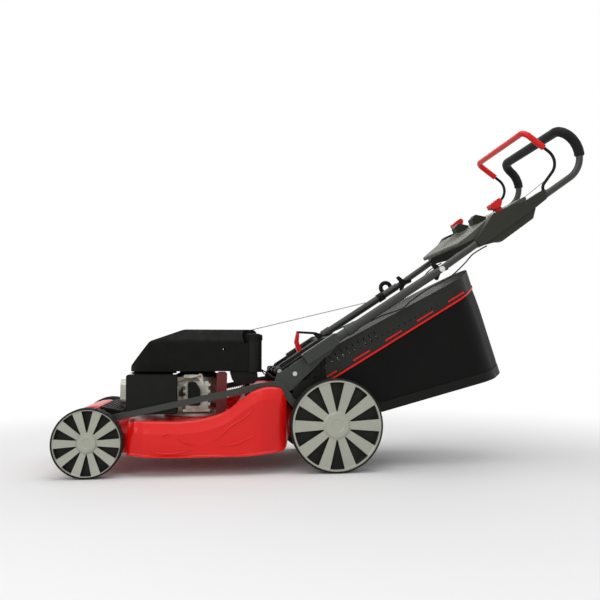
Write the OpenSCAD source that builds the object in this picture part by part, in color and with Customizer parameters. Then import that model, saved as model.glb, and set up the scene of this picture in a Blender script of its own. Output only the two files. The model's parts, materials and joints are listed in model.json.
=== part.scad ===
// Push lawn mower with a rear grass bag, a vertical-shaft petrol engine and a folding handle.
// Lengths are millimetres. The outlines are drawn from the front axle: +X runs back to the
// handle, +Y to the mower's right and +Z up from the floor.

/* [Wheels] */
// Diameter of the front wheels
front_wheel_d = 200; // [180:1:210]
// Diameter of the rear wheels
rear_wheel_d = 280; // [265:1:290]
// Width of every wheel
wheel_w = 45; // [38:1:50]
// Distance between the front and rear axles
wheelbase = 725; // [715:1:760]
// Distance that the wheels stand out beyond the deck's sides
wheel_proud = 10; // [8:1:20]
// Number of spokes on each hub cap
spokes = 10; // [8:1:12]
// Diameter of the axle stubs
axle_d = 12; // [10:0.5:14]

/* [Height adjustment] */
// Length of the axle cranks
crank_r = 60; // [50:1:66]
// Total change of the cutting height
height_travel = 40; // [25:1:44]
// Length of the upright arms that the link bar joins
link_arm = 70; // [60:1:76]

/* [Deck] */
// Half width of the deck at its widest
deck_half_w = 261; // [255:1:264]
// Thickness of the pressed deck
deck_t = 3; // [2:0.5:4]
// Height of the flat under the engine
platform_z = 155; // [150:1:158]
// Height of the deck's lower edge
deck_low_z = 54; // [48:1:60]
// Place of the engine shaft behind the front axle
engine_x = 306; // [300:1:312]
// Length of the blade
blade_len = 450; // [400:1:462]
// Width of the blade
blade_w = 55; // [45:1:62]

/* [Engine] */
// Half width of the engine shroud
shroud_half_w = 156; // [150:1:165]
// Height of the top of the engine shroud
shroud_top_z = 431; // [425:1:445]
// Height of the bottom edge of the engine shroud
shroud_low_z = 300; // [299:1:303]
// Wall of the engine shroud
shroud_t = 4; // [3:0.5:5]
// Diameter of the engine shaft
shaft_d = 25; // [22:0.5:26]
// Diameter of the fuel cap
fuel_cap_d = 56; // [48:1:60]

/* [Handle] */
// Distance from the wheels' inner faces in to the centres of the handle tubes
handle_inset = 4; // [2:0.5:6]
// Diameter of the lower tubes
lower_tube_d = 27; // [25:0.5:28]
// Diameter of the upper tube
upper_tube_d = 22.5; // [21:0.5:24]
// Wall of the handle tubes
tube_t = 2; // [1.5:0.1:2.5]
// Slope of the lower tubes
lower_slope = 33; // [32:0.5:34]
// Slope of the upper tube
upper_slope = 35; // [34:0.5:36]
// Diameter of the foam on the upper tube
foam_d = 33; // [30:0.5:36]
// Radius of the bend below the grip
grip_bend_r = 86; // [80:1:92]
// Turning range of the folding upper handle, in degrees
fold_range = 120; // [90:5:124]
// Diameter of the fold bolts
fold_bolt_d = 8; // [6:0.5:9]

/* [Bail] */
// Diameter of the bail wire
bail_d = 10; // [8:0.5:11]
// Diameter of the sleeve on the bail
bail_sleeve_d = 20; // [16:0.5:21]
// Distance from the handle tubes' centres in to the bail's legs
bail_inset = 28; // [26:1:32]

/* [Bag] */
// Distance from the wheels' inner faces in to the sides of the grass bag
bag_inset = 26; // [25:1:36]
// Wall of the bag
bag_t = 5; // [4:0.5:8]
// Slope of the bag's lid
bag_slope = 28; // [26:0.5:30]

/* [Fits] */
// Radial clearance of a running fit
run_gap = 0.05; // [0.02:0.01:0.1]
// Gap between pieces that move past each other
free_gap = 0.6; // [0.4:0.1:1]
// Gap between neighbouring fixed pieces
seat_gap = 0.3; // [0.2:0.05:0.5]

/* [Hidden] */
$fn = 48;

front_r = front_wheel_d / 2;
rear_r = rear_wheel_d / 2;
wheel_out_y = deck_half_w + wheel_proud;
wheel_in_y = wheel_out_y - wheel_w;

// Crank pivots: the axles stand half the travel above them at the lowest cutting height.
crank_angle = asin(height_travel / 2 / crank_r);
crank_dx = crank_r * cos(crank_angle);
front_pivot = [-crank_dx, front_r - height_travel / 2];
rear_pivot = [wheelbase - crank_dx, rear_r - height_travel / 2];
pivot_r = 6;
front_pin = front_pivot + link_arm * [-sin(crank_angle), cos(crank_angle)];
rear_pin = rear_pivot + link_arm * [-sin(crank_angle), cos(crank_angle)];
crank_y = wheel_in_y - 7;
crank_t = 5;
link_y = crank_y - 7;
link_t = 6;

// Handle
tube_y = wheel_in_y - handle_inset;
bag_half_w = wheel_in_y - bag_inset;
lower_r = lower_tube_d / 2;
upper_r = upper_tube_d / 2;
foam_r = foam_d / 2;
tube_foot = [wheelbase - 96, rear_r + 195];
lower_len = 525;
fold_pin = tube_foot + lower_len * [cos(lower_slope), sin(lower_slope)];
fold_round = 24;
upper_len = 545;
grip_lean = 140;
grip_turn_r = 42;
upper_path = [[upper_len, 0], [grip_bend_r, grip_lean - upper_slope]];
grip_bend_x = fold_pin.x + upper_len * cos(upper_slope) - grip_bend_r * sin(upper_slope);
x_front = -front_r;
x_back = grip_bend_x + grip_bend_r + foam_r;
x_mid = (x_front + x_back) / 2;

// Draws a child in the row frame: the origin is under the middle of the whole mower.
module placed() { translate([-x_mid, 0, 0]) children(); }
module both_sides() {
    children();
    mirror([0, 1, 0]) children();
}

// ---- Outlines with round corners: each point is [x, z, corner radius] ----
function unit(v) = v / norm(v);
function arc_points(c, r, a, b, n) = [for (k = [0:n]) c + r * [cos(a + (b - a) * k / n), sin(a + (b - a) * k / n)]];
function corner(before, at, after, r, n) =
    let (u = unit(before - at), v = unit(after - at), half = acos(u * v) / 2)
    let (c = at + unit(u + v) * r / sin(half), s = at + u * r / tan(half), e = at + v * r / tan(half))
    let (a = atan2(s.y - c.y, s.x - c.x), b = atan2(e.y - c.y, e.x - c.x))
    let (turn = ((b - a + 540) % 360) - 180)
    arc_points(c, r, a, a + turn, n);
function flat(p) = [p[0], p[1]];
function rounded(pts, n = 5) =
    let (m = len(pts))
    [for (i = [0:m - 1]) each
        pts[i][2] > 0
            ? corner(flat(pts[(i + m - 1) % m]), flat(pts[i]), flat(pts[(i + 1) % m]), pts[i][2], n)
            : [flat(pts[i])]];
// Points that stand r outside a convex outline, so that rounding them by r wraps a disc at each one.
function swollen(pts, r) =
    let (m = len(pts))
    [for (i = [0:m - 1])
        let (u = unit(pts[(i + m - 1) % m] - pts[i]), v = unit(pts[(i + 1) % m] - pts[i]), half = acos(u * v) / 2)
        let (p = pts[i] - unit(u + v) * r / sin(half)) [p.x, p.y, r]];
module outline(pts, n = 5) { polygon(rounded(pts, n)); }

// An outline in the XZ plane, extruded from y0 to y1.
module slab_y(y0, y1) { translate([0, y1, 0]) rotate([90, 0, 0]) linear_extrude(y1 - y0) children(); }
// An outline in the YZ plane, extruded from x0 to x1.
module slab_x(x0, x1) { translate([x0, 0, 0]) rotate([90, 0, 90]) linear_extrude(x1 - x0) children(); }
module slab_z(z0, z1) { translate([0, 0, z0]) linear_extrude(z1 - z0) children(); }
// A round bar along Y at p = [x, z].
module bar_y(p, r, y0, y1) { translate([p[0], y0, p[1]]) rotate([-90, 0, 0]) cylinder(r = r, h = y1 - y0); }
// The cross-section of a bar, or of a tube when its bore ri is above 0.
module section(r, ri) {
    difference() {
        circle(r);
        if (ri > 0) circle(ri);
    }
}
// A round bar or tube in an XZ plane from p to q.
module strut(p, q, r, y = 0, ri = 0) {
    d = q - p;
    translate([p[0], y, p[1]]) rotate([0, 90 - atan2(d.y, d.x), 0]) linear_extrude(norm(d)) section(r, ri);
}
// A bar or tube bent in an XZ plane about c from angle a to b, a hair short at both ends.
hair = 0.01;
module bend_xz(c, bend_r, r, a, b, y = 0, ri = 0) {
    trim = hair / bend_r * 180 / PI;
    translate([c[0], y, c[1]]) rotate([90, 0, 0]) rotate([0, 0, a + trim])
        rotate_extrude(angle = b - a - 2 * trim) translate([bend_r, 0]) section(r, ri);
}
// Weld inside the joint between two stretches, at p in the direction d.
module weld(p, d, r, y, ri) {
    u = [cos(d), sin(d)];
    strut(p - 1.5 * u, p + 1.5 * u, r - 0.5, y, ri > 0 ? ri + 0.5 : 0);
}
// A bent bar or tube in an XZ plane: each step is [length, 0] or [bend radius, turn in degrees].
function step_end(p, d, s) =
    s[1] == 0 ? [p + s[0] * [cos(d), sin(d)], d]
    : let (k = sign(s[1]), c = p + k * s[0] * [-sin(d), cos(d)])
      [c + k * s[0] * [sin(d + s[1]), -cos(d + s[1])], d + s[1]];
function path_end(p, d, steps, i = 0) =
    i == len(steps) ? [p, d] : let (e = step_end(p, d, steps[i])) path_end(e[0], e[1], steps, i + 1);
module wire(p, d, steps, r, y, ri = 0) {
    for (i = [0:len(steps) - 1]) {
        e = path_end(p, d, [for (k = [0:1:i - 1]) steps[k]]);
        s = steps[i];
        k = sign(s[1]);
        if (k == 0) strut(e[0], e[0] + s[0] * [cos(e[1]), sin(e[1])], r, y, ri);
        else bend_xz(e[0] + k * s[0] * [-sin(e[1]), cos(e[1])], s[0], r,
                     k > 0 ? e[1] - 90 : e[1] + 90 + s[1], k > 0 ? e[1] - 90 + s[1] : e[1] + 90, y, ri);
        if (i > 0) weld(e[0], e[1], r, y, ri);
    }
}
// Both legs end at e, and turn into a crossbar along Y.
module crossbar(e, turn, half_w, r, ri = 0) {
    c = e[0] + turn * [cos(e[1]), sin(e[1])];
    trim = hair / turn * 180 / PI;
    both_sides() {
        translate([e[0].x, -half_w + turn, e[0].y]) rotate([0, -e[1], 0]) rotate([0, 0, -90 + trim])
            rotate_extrude(angle = 90 - 2 * trim) translate([turn, 0]) section(r, ri);
        weld(e[0], e[1], r, -half_w, ri);
        translate([c.x, -half_w + turn - 1.5, c.y]) rotate([-90, 0, 0]) linear_extrude(3) section(r - 0.5, ri > 0 ? ri + 0.5 : 0);
    }
    translate([c.x, -half_w + turn, c.y]) rotate([-90, 0, 0]) linear_extrude(2 * (half_w - turn)) section(r, ri);
}
// A plate with round ends between two places.
module link_plate(p, q, r, y0, y1) {
    a = atan2(q.y - p.y, q.x - p.x);
    bar_y(p, r, y0, y1);
    bar_y(q, r, y0, y1);
    translate([p.x, y1, p.y]) rotate([90, 0, 0]) rotate([0, 0, a])
        translate([0, -r, 0]) cube([norm(q - p), 2 * r, y1 - y0]);
}

// ---- Smooth curve through keyed heights or widths ----
function slope_at(t, i) =
    i == 0 ? (t[1][1] - t[0][1]) / (t[1][0] - t[0][0])
    : i == len(t) - 1 ? (t[i][1] - t[i - 1][1]) / (t[i][0] - t[i - 1][0])
    : let (a = (t[i][1] - t[i - 1][1]) / (t[i][0] - t[i - 1][0]),
           b = (t[i + 1][1] - t[i][1]) / (t[i + 1][0] - t[i][0]))
      a * b <= 0 ? 0 : 2 * a * b / (a + b);
function curve(t, x) =
    x <= t[0][0] ? t[0][1]
    : x >= t[len(t) - 1][0] ? t[len(t) - 1][1]
    : let (i = max([for (k = [0:len(t) - 2]) if (t[k][0] <= x) k]),
           h = t[i + 1][0] - t[i][0], u = (x - t[i][0]) / h,
           m0 = slope_at(t, i) * h, m1 = slope_at(t, i + 1) * h)
      (2 * u * u * u - 3 * u * u + 1) * t[i][1] + (u * u * u - 2 * u * u + u) * m0
      + (3 * u * u - 2 * u * u * u) * t[i + 1][1] + (u * u * u - u * u) * m1;

// ---- Deck ----
nose_x = -72;
deck_end_x = wheelbase - 126;
nose_half_w = wheel_in_y - 34;
side_x0 = front_r + 8;
// Half width of the deck along its length
deck_width = [
    [nose_x, nose_half_w - 52], [nose_x + 12, nose_half_w - 18], [nose_x + 35, nose_half_w - 4], [0, nose_half_w],
    [side_x0 - 4, nose_half_w], [side_x0, deck_half_w - 23], [side_x0 + 30, deck_half_w - 12],
    [side_x0 + 66, deck_half_w], [485, deck_half_w], [530, deck_half_w - 11], [560, deck_half_w - 22],
    [576, deck_half_w - 33], [584, deck_half_w - 57], [deck_end_x, nose_half_w],
];
// Height of the shoulder along each side
deck_shoulder = [
    [nose_x, 146], [nose_x + 10, 168], [-42, 184], [-8, 193], [12, 194], [20, 172], [60, 160], [side_x0 - 4, 152],
    [side_x0, 132], [130, 159], [178, 158], [251, 156], [303, 160], [355, 170], [400, 188], [433, 212],
    [467, 238], [490, 249], [517, 255], [545, 254], [561, 249], [572, 227], [582, 203], [deck_end_x, 185],
];
// Height along the middle
deck_middle = [
    [nose_x, 148], [nose_x + 10, 172], [-42, 187], [-8, 196], [12, 197], [20, 177], [80, 164], [side_x0, 157],
    [130, platform_z], [420, platform_z], [450, 190], [475, 232], [500, 252], [530, 256], [deck_end_x, 256],
];
// Height of the lower edge
deck_edge = [
    [nose_x, 118], [70, 118], [78, deck_low_z + 12], [side_x0, deck_low_z + 8], [173, deck_low_z + 2], [260, deck_low_z],
    [437, deck_low_z], [510, deck_low_z + 5], [570, deck_low_z + 12], [582, deck_low_z + 40], [deck_end_x, 136],
];
deck_stations = [
    nose_x, nose_x + 4, nose_x + 10, -50, -36, -15, 8, 14, 20, 40, 68, 74, 80, side_x0 - 4, side_x0, 118, 128, 138, 155,
    174, 215, 260, 300, 330, 360, 385, 405, 425, 442, 456, 470, 485, 500, 517, 532, 545, 554, 561, 567, 576, 584,
    591, deck_end_x,
];
crease = 35;
// Floor of the channel in the roof that each link bar slides along
channel_floor = [
    [400, 205], [433, 215], [467, 223], [500, 230], [530, 235], [548, 235], [557, 231], [566, 219], [575, 207],
    [585, 193], [deck_end_x, 178],
];
channel_y = link_y + 6;
channel_w = 17;
// Half of one cross-section from the lower edge up the side to the middle; off is the wall's depth.
function deck_half(x, off) =
    let (v = curve(deck_width, x), w = v - off, s = curve(deck_shoulder, x) - off, m = curve(deck_middle, x) - off)
    let (e = curve(deck_edge, x), band = min(crease, (s - e) / 2), c = s - band, low = min(7, (c - e) / 3))
    let (q = v > channel_y + 7 ? min(26, v - channel_y - 7) : 26, f = q / 26, b = v > channel_y + 7 ? channel_y : v - 38)
    let (g = min((s + m) / 2, curve(channel_floor, x) - off), near = b + 0.8 * off, far = b + 0.8 * off * sign(g - m))
    [[w + 2, e], [w + 2, e + low * 0.6], [w - 1, e + low], [w, (e + low + c) / 2], [w - f, c], [w - 8 * f, s - band * 0.54],
     [w - 15 * f, s - band * 0.17], [w - 20 * f, s - band * 0.04], [w - q, s], [near, s - 1], [near - 3, g],
     [far - channel_w, g], [far - channel_w - 4, m], [0, m]];
function deck_ring(x, off) =
    let (h = deck_half(x, off), n = len(h))
    concat([for (p = h) [-p[0], p[1]]], [for (i = [n - 2:-1:0]) h[i]]);
ring_n = 27;

module deck_skin() {
    n = len(deck_stations);
    outer = [for (x = deck_stations) for (p = deck_ring(x, 0)) [x, p[0], p[1]]];
    inner = [for (i = [0:n - 1]) let (x = deck_stations[i], xi = i == 0 ? x + deck_t : x)
             for (p = deck_ring(x, deck_t)) [xi, p[0], p[1]]];
    m = n * ring_n;
    last = (n - 1) * ring_n;
    polyhedron(
        points = concat(outer, inner),
        faces = concat(
            [for (i = [0:n - 2]) for (k = [0:ring_n - 2]) let (a = i * ring_n + k, b = a + ring_n) [a + 1, b + 1, b, a]],
            [for (i = [0:n - 2]) for (k = [0:ring_n - 2]) let (a = m + i * ring_n + k, b = a + ring_n) [b, b + 1, a + 1, a]],
            [for (i = [0:n - 2]) let (a = i * ring_n, b = a + ring_n) [b, m + b, m + a, a]],
            [for (i = [0:n - 2]) let (a = i * ring_n + ring_n - 1, b = a + ring_n) [m + a, m + b, b, a]],
            [for (k = [0:ring_n - 2]) let (a = last + k) [a + 1, m + a + 1, m + a, a]],
            [[for (k = [ring_n - 1:-1:0]) k], [for (k = [0:ring_n - 1]) m + k], [0, m, m + ring_n - 1, ring_n - 1]]
        ),
        convexity = 8
    );
}

ear_t = 4;
front_ear_y = nose_half_w - 14;
rear_ear_y = nose_half_w - 6;
beam_z = 120;
beam_h = 12;
// An ear with a bored foot for an axle pivot; top is its list of upper points.
module crank_ear(p, top, y) {
    difference() {
        slab_y(y - ear_t, y) outline(concat([[p.x - 12, p.y + 10, 8], [p.x - 12, p.y - 12, 8], [p.x + 12, p.y - 12, 8]], top));
        bar_y(p, pivot_r + run_gap, y - ear_t - 1, y + 1);
    }
}
hump_ribs = 13;
module deck_shell() {
    color("#d3141c") placed() {
        difference() {
            union() {
                deck_skin();
                // Front wall of the blade housing
                translate([76, -nose_half_w + 8, deck_low_z + 14]) cube([deck_t, 2 * nose_half_w - 16, 95]);
                // Cross beam that carries the front axle
                translate([-12, -nose_half_w + deck_t / 2, beam_z]) cube([20, 2 * nose_half_w - deck_t, beam_h]);
                // Raised seat for the engine
                translate([engine_x, 0, platform_z - 1]) cylinder(r = 108, h = 4);
            }
            translate([engine_x, 0, platform_z - 12]) cylinder(r = 44, h = 30);
        }
        both_sides() {
            crank_ear(front_pivot, [[8, beam_z + 3, 0], [8, beam_z + beam_h - 1, 0], [-22, beam_z + beam_h - 1, 8]], -front_ear_y);
            // Louvre ribs along the hump
            for (i = [0:hump_ribs - 1]) let (x = 478 + 6 * i, w = curve(deck_width, x), s = curve(deck_shoulder, x))
                translate([x, -w + 17, s - 8]) rotate([-30, 0, 0]) cube([2.4, 12, 6]);
        }
    }
}

trim_half_w = nose_half_w - 26;
module front_trim() {
    slope = -11;
    color("#23231f") placed() {
        difference() {
            slab_y(-trim_half_w, trim_half_w)
                outline(concat([[21, 197, 3], [86, 184, 5]],
                               [for (x = [80, 74, 68, 40]) [x, curve(deck_middle, x) + seat_gap, 0]],
                               [[21, curve(deck_middle, 20) + seat_gap, 0]]));
            for (i = [0:5])
                slab_y(-trim_half_w + 20, trim_half_w - 20) translate([29 + 9 * i, 199 - 1.8 * i])
                    rotate(slope) square([4, 14], center = true);
            both_sides() slab_y(-trim_half_w - 1, -trim_half_w + 9)
                outline([[32, 180, 3], [29, 189, 3], [76, 180, 3], [73, 171, 3]]);
        }
    }
}

// ---- Rear discharge frame, flap and bag ----
chute_half_w = nose_half_w - 1;
flap_slope = 34;
flap_pin = [560, 300];
flap_len = 196;
flap_t = 4;
mouth_x = wheelbase - 24;
bracket_bolt = [605, 293];
frame_bolts = [[608, 238], [635, 260]];
bracket_pad = [666, 330];
function flap_line(x, up = 0) = flap_pin.y + (x - flap_pin.x) * tan(flap_slope) + up;
chute_low = rear_pivot.y + 20;
module chute_outline(x0, x1, off) {
    outline([[x0, chute_low + off, 0], [x0, flap_line(x0, -16 - off), 0], [x1, flap_line(x1, -16 - off), 0], [x1, chute_low + off, 0]]);
}
module discharge_frame() {
    x0 = deck_end_x + seat_gap;
    color("#1d1d1b") placed() {
        difference() {
            union() {
                slab_y(-chute_half_w, chute_half_w) chute_outline(x0, mouth_x, 0);
                // Rim round the mouth
                both_sides() slab_y(-chute_half_w - 4, -chute_half_w + 2) outline([[mouth_x - 12, chute_low + 10, 2],
                    [mouth_x - 12, flap_line(mouth_x - 12, -26), 2], [mouth_x, flap_line(mouth_x, -20), 2], [mouth_x, chute_low + 10, 2]]);
                // Ears that carry the flap's hinge rod
                both_sides() slab_y(-chute_half_w + 12, -chute_half_w + 18) outline([[x0, 262, 0], [flap_pin.x - 9, 285, 8],
                    [flap_pin.x - 9, flap_pin.y + 10, 8], [x0, flap_line(x0, -16), 0]]);
                // Pads for the handle brackets, and ears for the rear axle
                both_sides() for (p = [bracket_bolt, bracket_pad])
                    bar_y(p, 12, plate_y + plate_t + seat_gap, -chute_half_w + 1);
                both_sides() crank_ear(rear_pivot, [[rear_pivot.x + 24, chute_low + 2, 0], [rear_pivot.x - 20, chute_low + 2, 0]], -rear_ear_y);
                // Flange below each bracket, with its two bolts
                both_sides() slab_y(plate_y, plate_y + 4) outline([[592, 233, 4], [600, 226, 6], [616, 226, 8], [650, 262, 8],
                    [670, 294, 6], [660, 297, 4], [633, 271, 4], [611, 244, 4]]);
                both_sides() for (p = frame_bolts) bar_y(p, 9, plate_y + 1, -chute_half_w + 1);
            }
            slab_y(-chute_half_w + 4, chute_half_w - 4) chute_outline(x0 - 1, mouth_x + 1, 4);
            // Way in from the deck, below its roof
            slab_y(-chute_half_w + 4, chute_half_w - 4) outline([[x0 - 2, chute_low + 6, 0], [x0 - 2, 252, 0], [x0 + 6, 252, 0], [x0 + 6, chute_low + 6, 0]]);
            bar_y(flap_pin, 4 + run_gap, -chute_half_w, chute_half_w);
            both_sides() bar_y(bracket_bolt, 5 + run_gap, -chute_half_w - 12, -chute_half_w + 5);
            both_sides() for (p = frame_bolts) bolt_seat(p, -chute_half_w + 5);
        }
    }
}
module flap_rod() {
    color("#9a9a92") placed() {
        bar_y(flap_pin, 4, -chute_half_w + 6, chute_half_w - 6);
        both_sides() bar_y(flap_pin, 7, -chute_half_w + 6, -chute_half_w + 11.5);
    }
}
flap_half_w = chute_half_w - 20;
module rear_flap() {
    color("#161613") placed() difference() {
        union() {
            slab_y(-flap_half_w, flap_half_w) {
                translate(flap_pin) rotate(flap_slope) translate([8, -flap_t / 2]) square([flap_len - 8, flap_t]);
                translate(flap_pin) rotate(flap_slope) translate([flap_len - 6, -6]) square([6, 7]);
            }
            // Knuckles round the rod and stiffening ribs
            for (y = [-120, 0, 120]) bar_y(flap_pin, 9, y - 22, y + 22);
            for (y = [-130, -75, 75, 130]) slab_y(y - 2, y + 2)
                translate(flap_pin) rotate(flap_slope) translate([10, 0])
                    outline([[0, 0, 0], [10, 8, 3], [flap_len - 30, 6, 3], [flap_len - 20, 0, 0]]);
        }
        bar_y(flap_pin, 4 + run_gap, -flap_half_w - 1, flap_half_w + 1);
    }
}
// D-shaped lift handle: an upright grip at the front and a bar back to the flap's free edge.
flap_grip_foot = [646, flap_line(646, 2)];
module flap_handle() {
    grip_w = 9;
    bar_h = 7;
    top_z = 430;
    back_x = 722;
    color("#d3222a") placed() slab_y(-grip_w, grip_w) difference() {
        union() {
            outline([[flap_grip_foot.x - 7, flap_line(flap_grip_foot.x - 7, 5), 0], [628, 392, 20], [636, top_z, 4],
                     [645, top_z, 3], [643, 392, 24], [flap_grip_foot.x + 8, flap_line(flap_grip_foot.x + 8, 5), 0]], 6);
            outline([[640, top_z, 3], [700, top_z - 3, 10], [back_x + 6, flap_line(back_x + 6, 3), 3],
                     [back_x - 12, flap_line(back_x - 12, 3), 0], [695, top_z - 3 - bar_h, 8], [640, top_z - bar_h, 0]], 6);
        }
    }
}

// The bag: its rear wall leans, and its plan bulges back between rounded corners.
bag_x = mouth_x + seat_gap;
bag_corner = [1151.2, 602];
bag_bulge = 97;
bag_lean = 18;
stripe_drop = 67;
stripe_slope = 31;
bag_floor_x = 880;
bag_floor_z = 173;
bag_floor_slope = 15;
band_h = 31;
crown = 3;
function lid_z(x) = bag_corner.y + (x - bag_corner.x) * tan(bag_slope);
function stripe_z(x) = bag_corner.y - stripe_drop + (x - bag_corner.x) * tan(stripe_slope);
function floor_z(x) = max(bag_floor_z - 15, bag_floor_z + (x - bag_floor_x) * tan(bag_floor_slope));
bag_far_x = bag_corner.x + 240;

// The plan as a leaning prism; off shrinks it by a wall.
module bag_prism(off) {
    w = bag_half_w - off;
    x1 = -off;
    translate([bag_corner.x, 0, bag_corner.y]) rotate([0, -bag_lean, 0]) translate([0, 0, -700]) linear_extrude(1000)
        outline([[-640, -w, 0], [x1 - 12, -w, 80], [x1 + bag_bulge * 0.62, -w * 0.5, 240], [x1 + bag_bulge, 0, 165],
                 [x1 + bag_bulge * 0.62, w * 0.5, 240], [x1 - 12, w, 80], [-640, w, 0]], 8);
}
// A layer of the bag between two lines of its side view.
module bag_layer(off, pts) { intersection() { bag_prism(off); slab_y(-bag_half_w - 9, bag_half_w + 9) outline(pts); } }
module lid_form(off, lift) {
    r = (bag_half_w * bag_half_w + crown * crown) / (2 * crown);
    intersection() {
        bag_layer(off, [[bag_x, stripe_z(bag_x) + lift, 0], [bag_x, lid_z(bag_x) + 20, 0],
                        [bag_far_x, lid_z(bag_far_x) + 20, 0], [bag_far_x, stripe_z(bag_far_x) + lift, 0]]);
        translate([bag_corner.x, 0, bag_corner.y]) rotate([0, 90 - bag_slope, 0])
            translate([r - crown + off, 0, -700]) cylinder(r = r, h = 1100, $fn = 200);
    }
}
vent_n = 20;
vent_pair_n = 9;
vent_pitch = 20.2;
module bag_cover() {
    color("#262623") placed() difference() {
        lid_form(0, 5);
        lid_form(3, -3);
        slab_y(-bag_half_w - 9, bag_half_w + 9) translate([bag_x + 22, lid_z(bag_x + 22) - 50]) rotate(bag_slope)
            for (i = [0:vent_n - 1]) translate([vent_pitch * i, 0]) {
                square([3, i < vent_pair_n ? 9 : 4]);
                if (i < vent_pair_n) translate([0, 16]) square([3, 9]);
            }
    }
}
dash_n = 5;
dash_pitch = 121;
dash_len = 62;
module bag_trim() {
    band = 7;
    color("#d8343a") placed() {
        difference() {
            bag_layer(-1.5, [[bag_x + 6, stripe_z(bag_x + 6) - band / 2, 0], [bag_x + 6, stripe_z(bag_x + 6) + band / 2, 0],
                             [bag_far_x, stripe_z(bag_far_x) + band / 2, 0], [bag_far_x, stripe_z(bag_far_x) - band / 2, 0]]);
            bag_prism(3.3);
        }
        both_sides() slab_y(-bag_half_w - 1.8, -bag_half_w - 0.3)
            translate([bag_x + 88, stripe_z(bag_x + 88) + 13]) rotate(stripe_slope) {
                for (i = [0:dash_n - 2]) translate([dash_pitch * i, 0]) square([dash_len, 4.5]);
                translate([-96, 0]) square([35, 4.5]);
            }
    }
}
module bag_fabric() {
    gap = 3.8;
    far = bag_far_x;
    color("#0e0e0c") placed() difference() {
        bag_layer(2, [[bag_x + 2, floor_z(bag_x) + band_h, 0], [bag_x + 2, stripe_z(bag_x) - gap, 0],
                      [far, stripe_z(far) - gap, 0], [far, floor_z(far) + band_h, 0], [bag_floor_x, floor_z(bag_floor_x) + band_h, 60]]);
        bag_layer(2 + bag_t, [[bag_x - 9, floor_z(bag_x) + band_h - 9, 0], [bag_x - 9, stripe_z(bag_x - 9), 0],
                      [far, stripe_z(far), 0], [far, floor_z(far) + band_h - 9, 0], [bag_floor_x, floor_z(bag_floor_x) + band_h - 9, 60]]);
    }
}
module tray_outline(off) {
    far = bag_far_x;
    top = band_h - seat_gap + off * 3;
    outline([[bag_x + 2 - off * 2, floor_z(bag_x) + off, 0], [bag_x + 2 - off * 2, floor_z(bag_x) + top, 0], [bag_floor_x, floor_z(bag_floor_x) + top, 60],
             [far, floor_z(far) + top, 0], [far, floor_z(far) + off, 0], [bag_floor_x, floor_z(bag_floor_x) + off, 60]]);
}
module bag_tray() {
    color("#2b2b28") placed() difference() {
        intersection() { bag_prism(1); slab_y(-bag_half_w - 9, bag_half_w + 9) tray_outline(0); }
        intersection() { bag_prism(1 + 3); slab_y(-bag_half_w - 9, bag_half_w + 9) tray_outline(3); }
    }
}

// ---- Axles, height lever and link bar ----
// Faces of a wheel, from its inner side
cap_z = wheel_w - 6;
hub_z = cap_z - 6;
stub_r = axle_d / 2;
module crank(pivot, axle, pin) {
    axle_end = wheel_in_y + cap_z - 0.5;
    collar = wheel_in_y + hub_z + seat_gap;
    both_sides() {
        slab_y(-crank_y - crank_t, -crank_y) outline(swollen([pivot, pin, axle], 10), 8);
        bar_y(axle, stub_r, -axle_end, -crank_y - 1);
        bar_y(pin, pin_r, -crank_y - 1, -link_y + 1);
        // Collar that keeps the wheel on
        bar_y(axle, stub_r + 2.5, -collar - 3, -collar);
    }
    bar_y(pivot, pivot_r, -crank_y - 1, crank_y + 1);
}
module front_axle() { color("#8f8f88") placed() crank(front_pivot, [0, front_r], front_pin); }
module rear_axle() { color("#8f8f88") placed() crank(rear_pivot, [wheelbase, rear_r], rear_pin); }

lever_eye = [rear_pivot.x - 62, rear_pivot.y + 117];
lever_head = [rear_pivot.x - 33, rear_pivot.y + 141];
knob_c = [rear_pivot.x - 17, rear_pivot.y + 151];
module height_lever() {
    color("#1a1a18") placed() {
        slab_y(-crank_y + seat_gap, -crank_y + 3) difference() {
            outline([[rear_pin.x - 14, rear_pin.y - 6, 6], [lever_eye.x - 12, lever_eye.y - 3, 8],
                [lever_eye.x - 4, lever_eye.y + 12, 8], [lever_head.x - 6, lever_head.y + 13, 8], [knob_c.x + 4, knob_c.y + 4, 6],
                [rear_pin.x + 15, rear_pin.y + 6, 6]]);
            translate(rear_pin) circle(pin_r + run_gap);
        }
        slab_y(-crank_y + 2, plate_y - 2 * free_gap) outline([[knob_c.x - 14, knob_c.y - 2, 6], [knob_c.x - 8, knob_c.y + 9, 5],
            [knob_c.x + 12, knob_c.y + 8, 5], [knob_c.x + 16, knob_c.y - 4, 6], [knob_c.x, knob_c.y - 12, 6]]);
    }
}

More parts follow.
